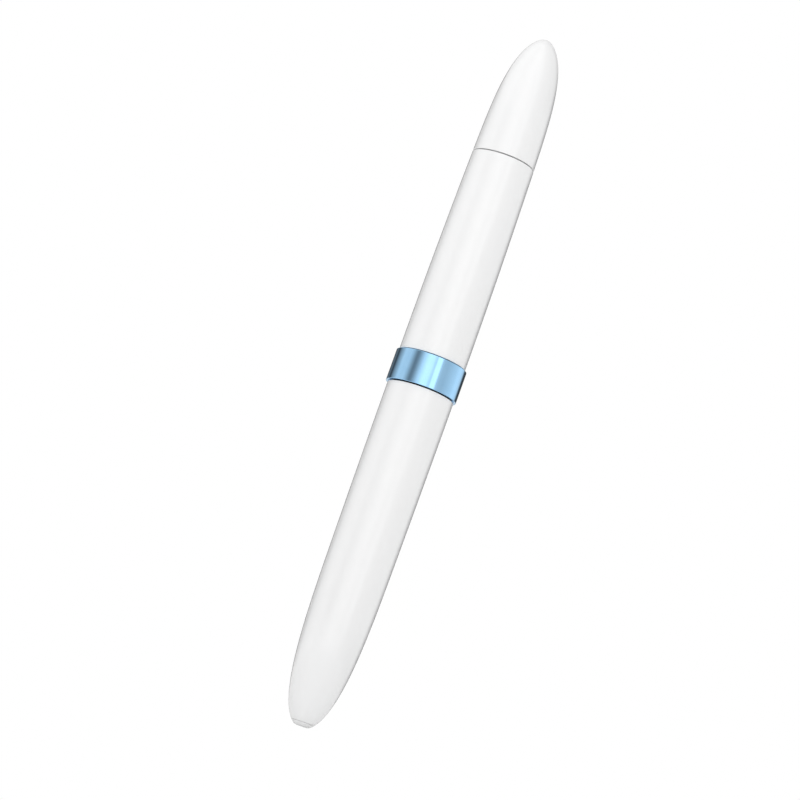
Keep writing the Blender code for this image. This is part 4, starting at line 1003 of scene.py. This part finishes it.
def turned_brass(name="turned_brass"):
    """Brass with turning marks round its axis and a little tarnish."""
    brass = Finish(name, (0.83, 0.62, 0.29), 0.22, 1.0)
    brass.tint(brass.noise(420, 4), (0.66, 0.46, 0.20), 0.3)
    brass.vary_roughness(brass.noise(1600, 4, (0.5, 0.5, 6)), 0.16, 0.34)
    brass.bump(brass.noise(1400, 3, (0.2, 0.2, 7), 0.2, 0.8), 0.000004, 0.25)
    return brass.made


BRASS = turned_brass()
nozzle = [(0.6, NOZZLE_TOP), (0.84, NOZZLE_TOP - 1.6), (NOZZLE_RADIUS, NOZZLE_LOW + 8.3),
          (NOZZLE_RADIUS, NOZZLE_LOW + 7.1), (NOZZLE_RADIUS - 0.2, NOZZLE_LOW + 6.9),
          (NOZZLE_RADIUS - 0.2, NOZZLE_LOW + 6.4), (NOZZLE_RADIUS, NOZZLE_LOW + 6.2),
          (NOZZLE_RADIUS, NOZZLE_LOW), (1.0, NOZZLE_LOW), (1.0, NOZZLE_TOP - 2.6),
          (0.35, NOZZLE_TOP - 1.6), (0.35, NOZZLE_TOP)]
soft = [0.08, 0.5, 0.25, 0.05, 0.05, 0.05, 0.05, 0.1, 0.1, 0, 0, 0.06]
piece("nozzle_tip", turned_mesh("nozzle_tip", rounded(nozzle, soft), BRASS, 64, True),
      "housing", "brass", "nozzle")


# ---------------------------------------------------------------- filament path
# A turned brass inlet bush with a countersunk mouth, and waxy white tubes that guide the
# filament past the cell and the motor.

BUSH_LOW, BUSH_TOP, BUSH_RADIUS, BUSH_BORE = 1.1, 6.1, 1.7, 1.15
bush = [(BUSH_RADIUS, BUSH_TOP), (BUSH_RADIUS, BUSH_LOW), (BUSH_BORE + 0.3, BUSH_LOW),
        (BUSH_BORE, BUSH_LOW + 0.4), (BUSH_BORE, BUSH_TOP)]
bush = rounded(bush, [0.1, 0.08, 0.06, 0.12, 0.08])
piece("inlet_ferrule", turned_mesh("inlet_ferrule", bush, BRASS, 64, True), "housing",
      "brass", "inlet_bush")


def dress(finish, *nodes):
    """Gives CAD nodes, whose shape stays, their finish."""
    for node in nodes:
        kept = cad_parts[node]
        if not kept.material_slots:
            kept.data.materials.append(finish)
        for slot in kept.material_slots:
            slot.material = finish


waxy = Finish("waxy_tube", (0.88, 0.88, 0.86), 0.36)
waxy.shader.inputs["Subsurface Weight"].default_value = 0.2
waxy.shader.inputs["Subsurface Scale"].default_value = 0.001
waxy.tint(waxy.noise(150, 3), (0.82, 0.82, 0.79), 0.5)
waxy.vary_roughness(waxy.noise(900, 3), 0.3, 0.45)
dress(waxy.made, "guide_tube", "front_guide")


# ---------------------------------------------------------------- power
# A lithium cell in a blue heat-shrunk sleeve on a foam cushion, held by a black carrier,
# with the charging board behind the port and two insulated leads.

sleeve = Finish("shrink_sleeve", (0.04, 0.20, 0.42), 0.28)
sleeve.tint(sleeve.noise(260, 3, (1, 1, 0.3)), (0.03, 0.16, 0.36), 0.6)
sleeve.vary_roughness(sleeve.noise(800, 3), 0.2, 0.36)
sleeve.bump(sleeve.noise(400, 3, (1, 1, 0.25), 0.2, 0.8), 0.00003, 0.4)
dress(sleeve.made, "lithium_cell")

foam = Finish("closed_cell_foam", (0.05, 0.05, 0.052), 0.95)
foam.bump(foam.noise(3500, 4, low=0.2, high=0.8), 0.00012, 0.9)
foam.tint(foam.noise(3500, 4), (0.10, 0.10, 0.10), 0.6)
dress(foam.made, "cell_cushion")


def black_nylon():
    """Glass-filled black nylon with a fine eroded grain."""
    nylon = Finish("black_nylon", (0.035, 0.035, 0.038), 0.45)
    nylon.tint(nylon.noise(700, 4), (0.06, 0.06, 0.062), 0.5)
    nylon.vary_roughness(nylon.noise(1200, 3), 0.38, 0.58)
    nylon.bump(nylon.noise(4500, 2, low=0.25, high=0.75), 0.000015, 0.5)
    return nylon.made


NYLON = black_nylon()
dress(NYLON, "port_carrier", "coupling_sleeve", "drive_cradle", "idler_lever")


def solder_mask():
    """Green solder mask over a glass board, with faint tracks."""
    mask = Finish("green_solder_mask", (0.015, 0.13, 0.06), 0.35)
    tracks = mask.tree.nodes.new("ShaderNodeTexVoronoi")
    tracks.distance = "MANHATTAN"
    tracks.inputs["Scale"].default_value = 900
    mask.tree.links.new(mask.place, tracks.inputs["Vector"])
    lines = maths(mask.tree, "LESS_THAN", tracks.outputs["Distance"], 0.32)
    mask.tint(lines, (0.03, 0.22, 0.10), 0.7)
    mask.bump(lines, 0.00002, 0.4)
    mask.vary_roughness(mask.noise(900), 0.28, 0.42)
    return mask.made


BOARD = solder_mask()
dress(BOARD, "charge_board", "main_board")

for name, colour, node in (("red_silicone", (0.55, 0.03, 0.03), "cell_lead_red"),
                           ("black_silicone", (0.025, 0.025, 0.025), "cell_lead_black")):
    lead = Finish(name, colour, 0.42)
    lead.vary_roughness(lead.noise(1500, 3), 0.36, 0.52)
    lead.bump(lead.noise(1500, 3, low=0.2, high=0.8), 0.00001, 0.4)
    dress(lead.made, node)


# ---------------------------------------------------------------- drive
# A gearmotor in a drawn steel can with a brass gearbox, a hardened feed screw in a brass
# bush, and a sprung idler lever whose roller presses the filament on to the screw.

dress(bright_steel("drawn_steel", (0.66, 0.66, 0.67), 0.18, 0.32, (1, 1, 0.2)), "motor_can")
dress(bright_steel("ground_steel", (0.55, 0.55, 0.57), 0.14, 0.26, (0.4, 0.4, 6)),
      "feed_screw", "idler_roller", "roller_axle", "idler_pivot", "pressure_leaf")
dress(BRASS, "gearbox_can", "screw_bush")


# ---------------------------------------------------------------- electronics
# Surface-mounted parts in black epoxy on the main board, a small clear lamp, and three
# plated screws that hold the board on the cradle.

epoxy = Finish("black_epoxy", (0.02, 0.02, 0.022), 0.4)
epoxy.tint(epoxy.noise(2200, 3), (0.045, 0.045, 0.047), 0.5)
epoxy.vary_roughness(epoxy.noise(2600, 3), 0.34, 0.5)
dress(epoxy.made, "feed_switch", "reverse_switch", "speed_sensor", "driver_chip")
dress(CLEAR, "status_lamp")
dress(STEEL, "board_screw_1", "board_screw_2", "board_screw_3")


# ---------------------------------------------------------------- hot end
# A stainless heat break in its collar, a ceramic heater in a woven glass sleeve, a bead
# thermistor, and two glass-sleeved heater leads.

dress(NOSE_GREY, "break_collar")
dress(bright_steel("stainless_tube", (0.58, 0.57, 0.55), 0.2, 0.34, (0.5, 0.5, 4)),
      "heat_break")

ceramic = Finish("fired_ceramic", (0.84, 0.82, 0.76), 0.5)
ceramic.tint(ceramic.noise(900, 4), (0.74, 0.71, 0.64), 0.5)
ceramic.bump(ceramic.noise(3200, 3, low=0.25, high=0.75), 0.00002, 0.5)
dress(ceramic.made, "heater_core", "thermistor")


def woven_glass():
    """A plain weave of glass yarn, as two crossed waves."""
    woven = Finish("woven_glass", (0.78, 0.70, 0.48), 0.8)
    waves = []
    for way in ("X", "Z"):
        wave = woven.tree.nodes.new("ShaderNodeTexWave")
        wave.bands_direction = way
        wave.inputs["Scale"].default_value = 700
        woven.tree.links.new(woven.place, wave.inputs["Vector"])
        waves.append(wave.outputs["Fac"])
    weave = maths(woven.tree, "MULTIPLY", *waves)
    woven.tint(weave, (0.90, 0.84, 0.64), 0.8)
    woven.bump(weave, 0.00006, 0.7)
    return woven.made


dress(woven_glass(), "insulation_sleeve", "heater_lead_left", "heater_lead_right")
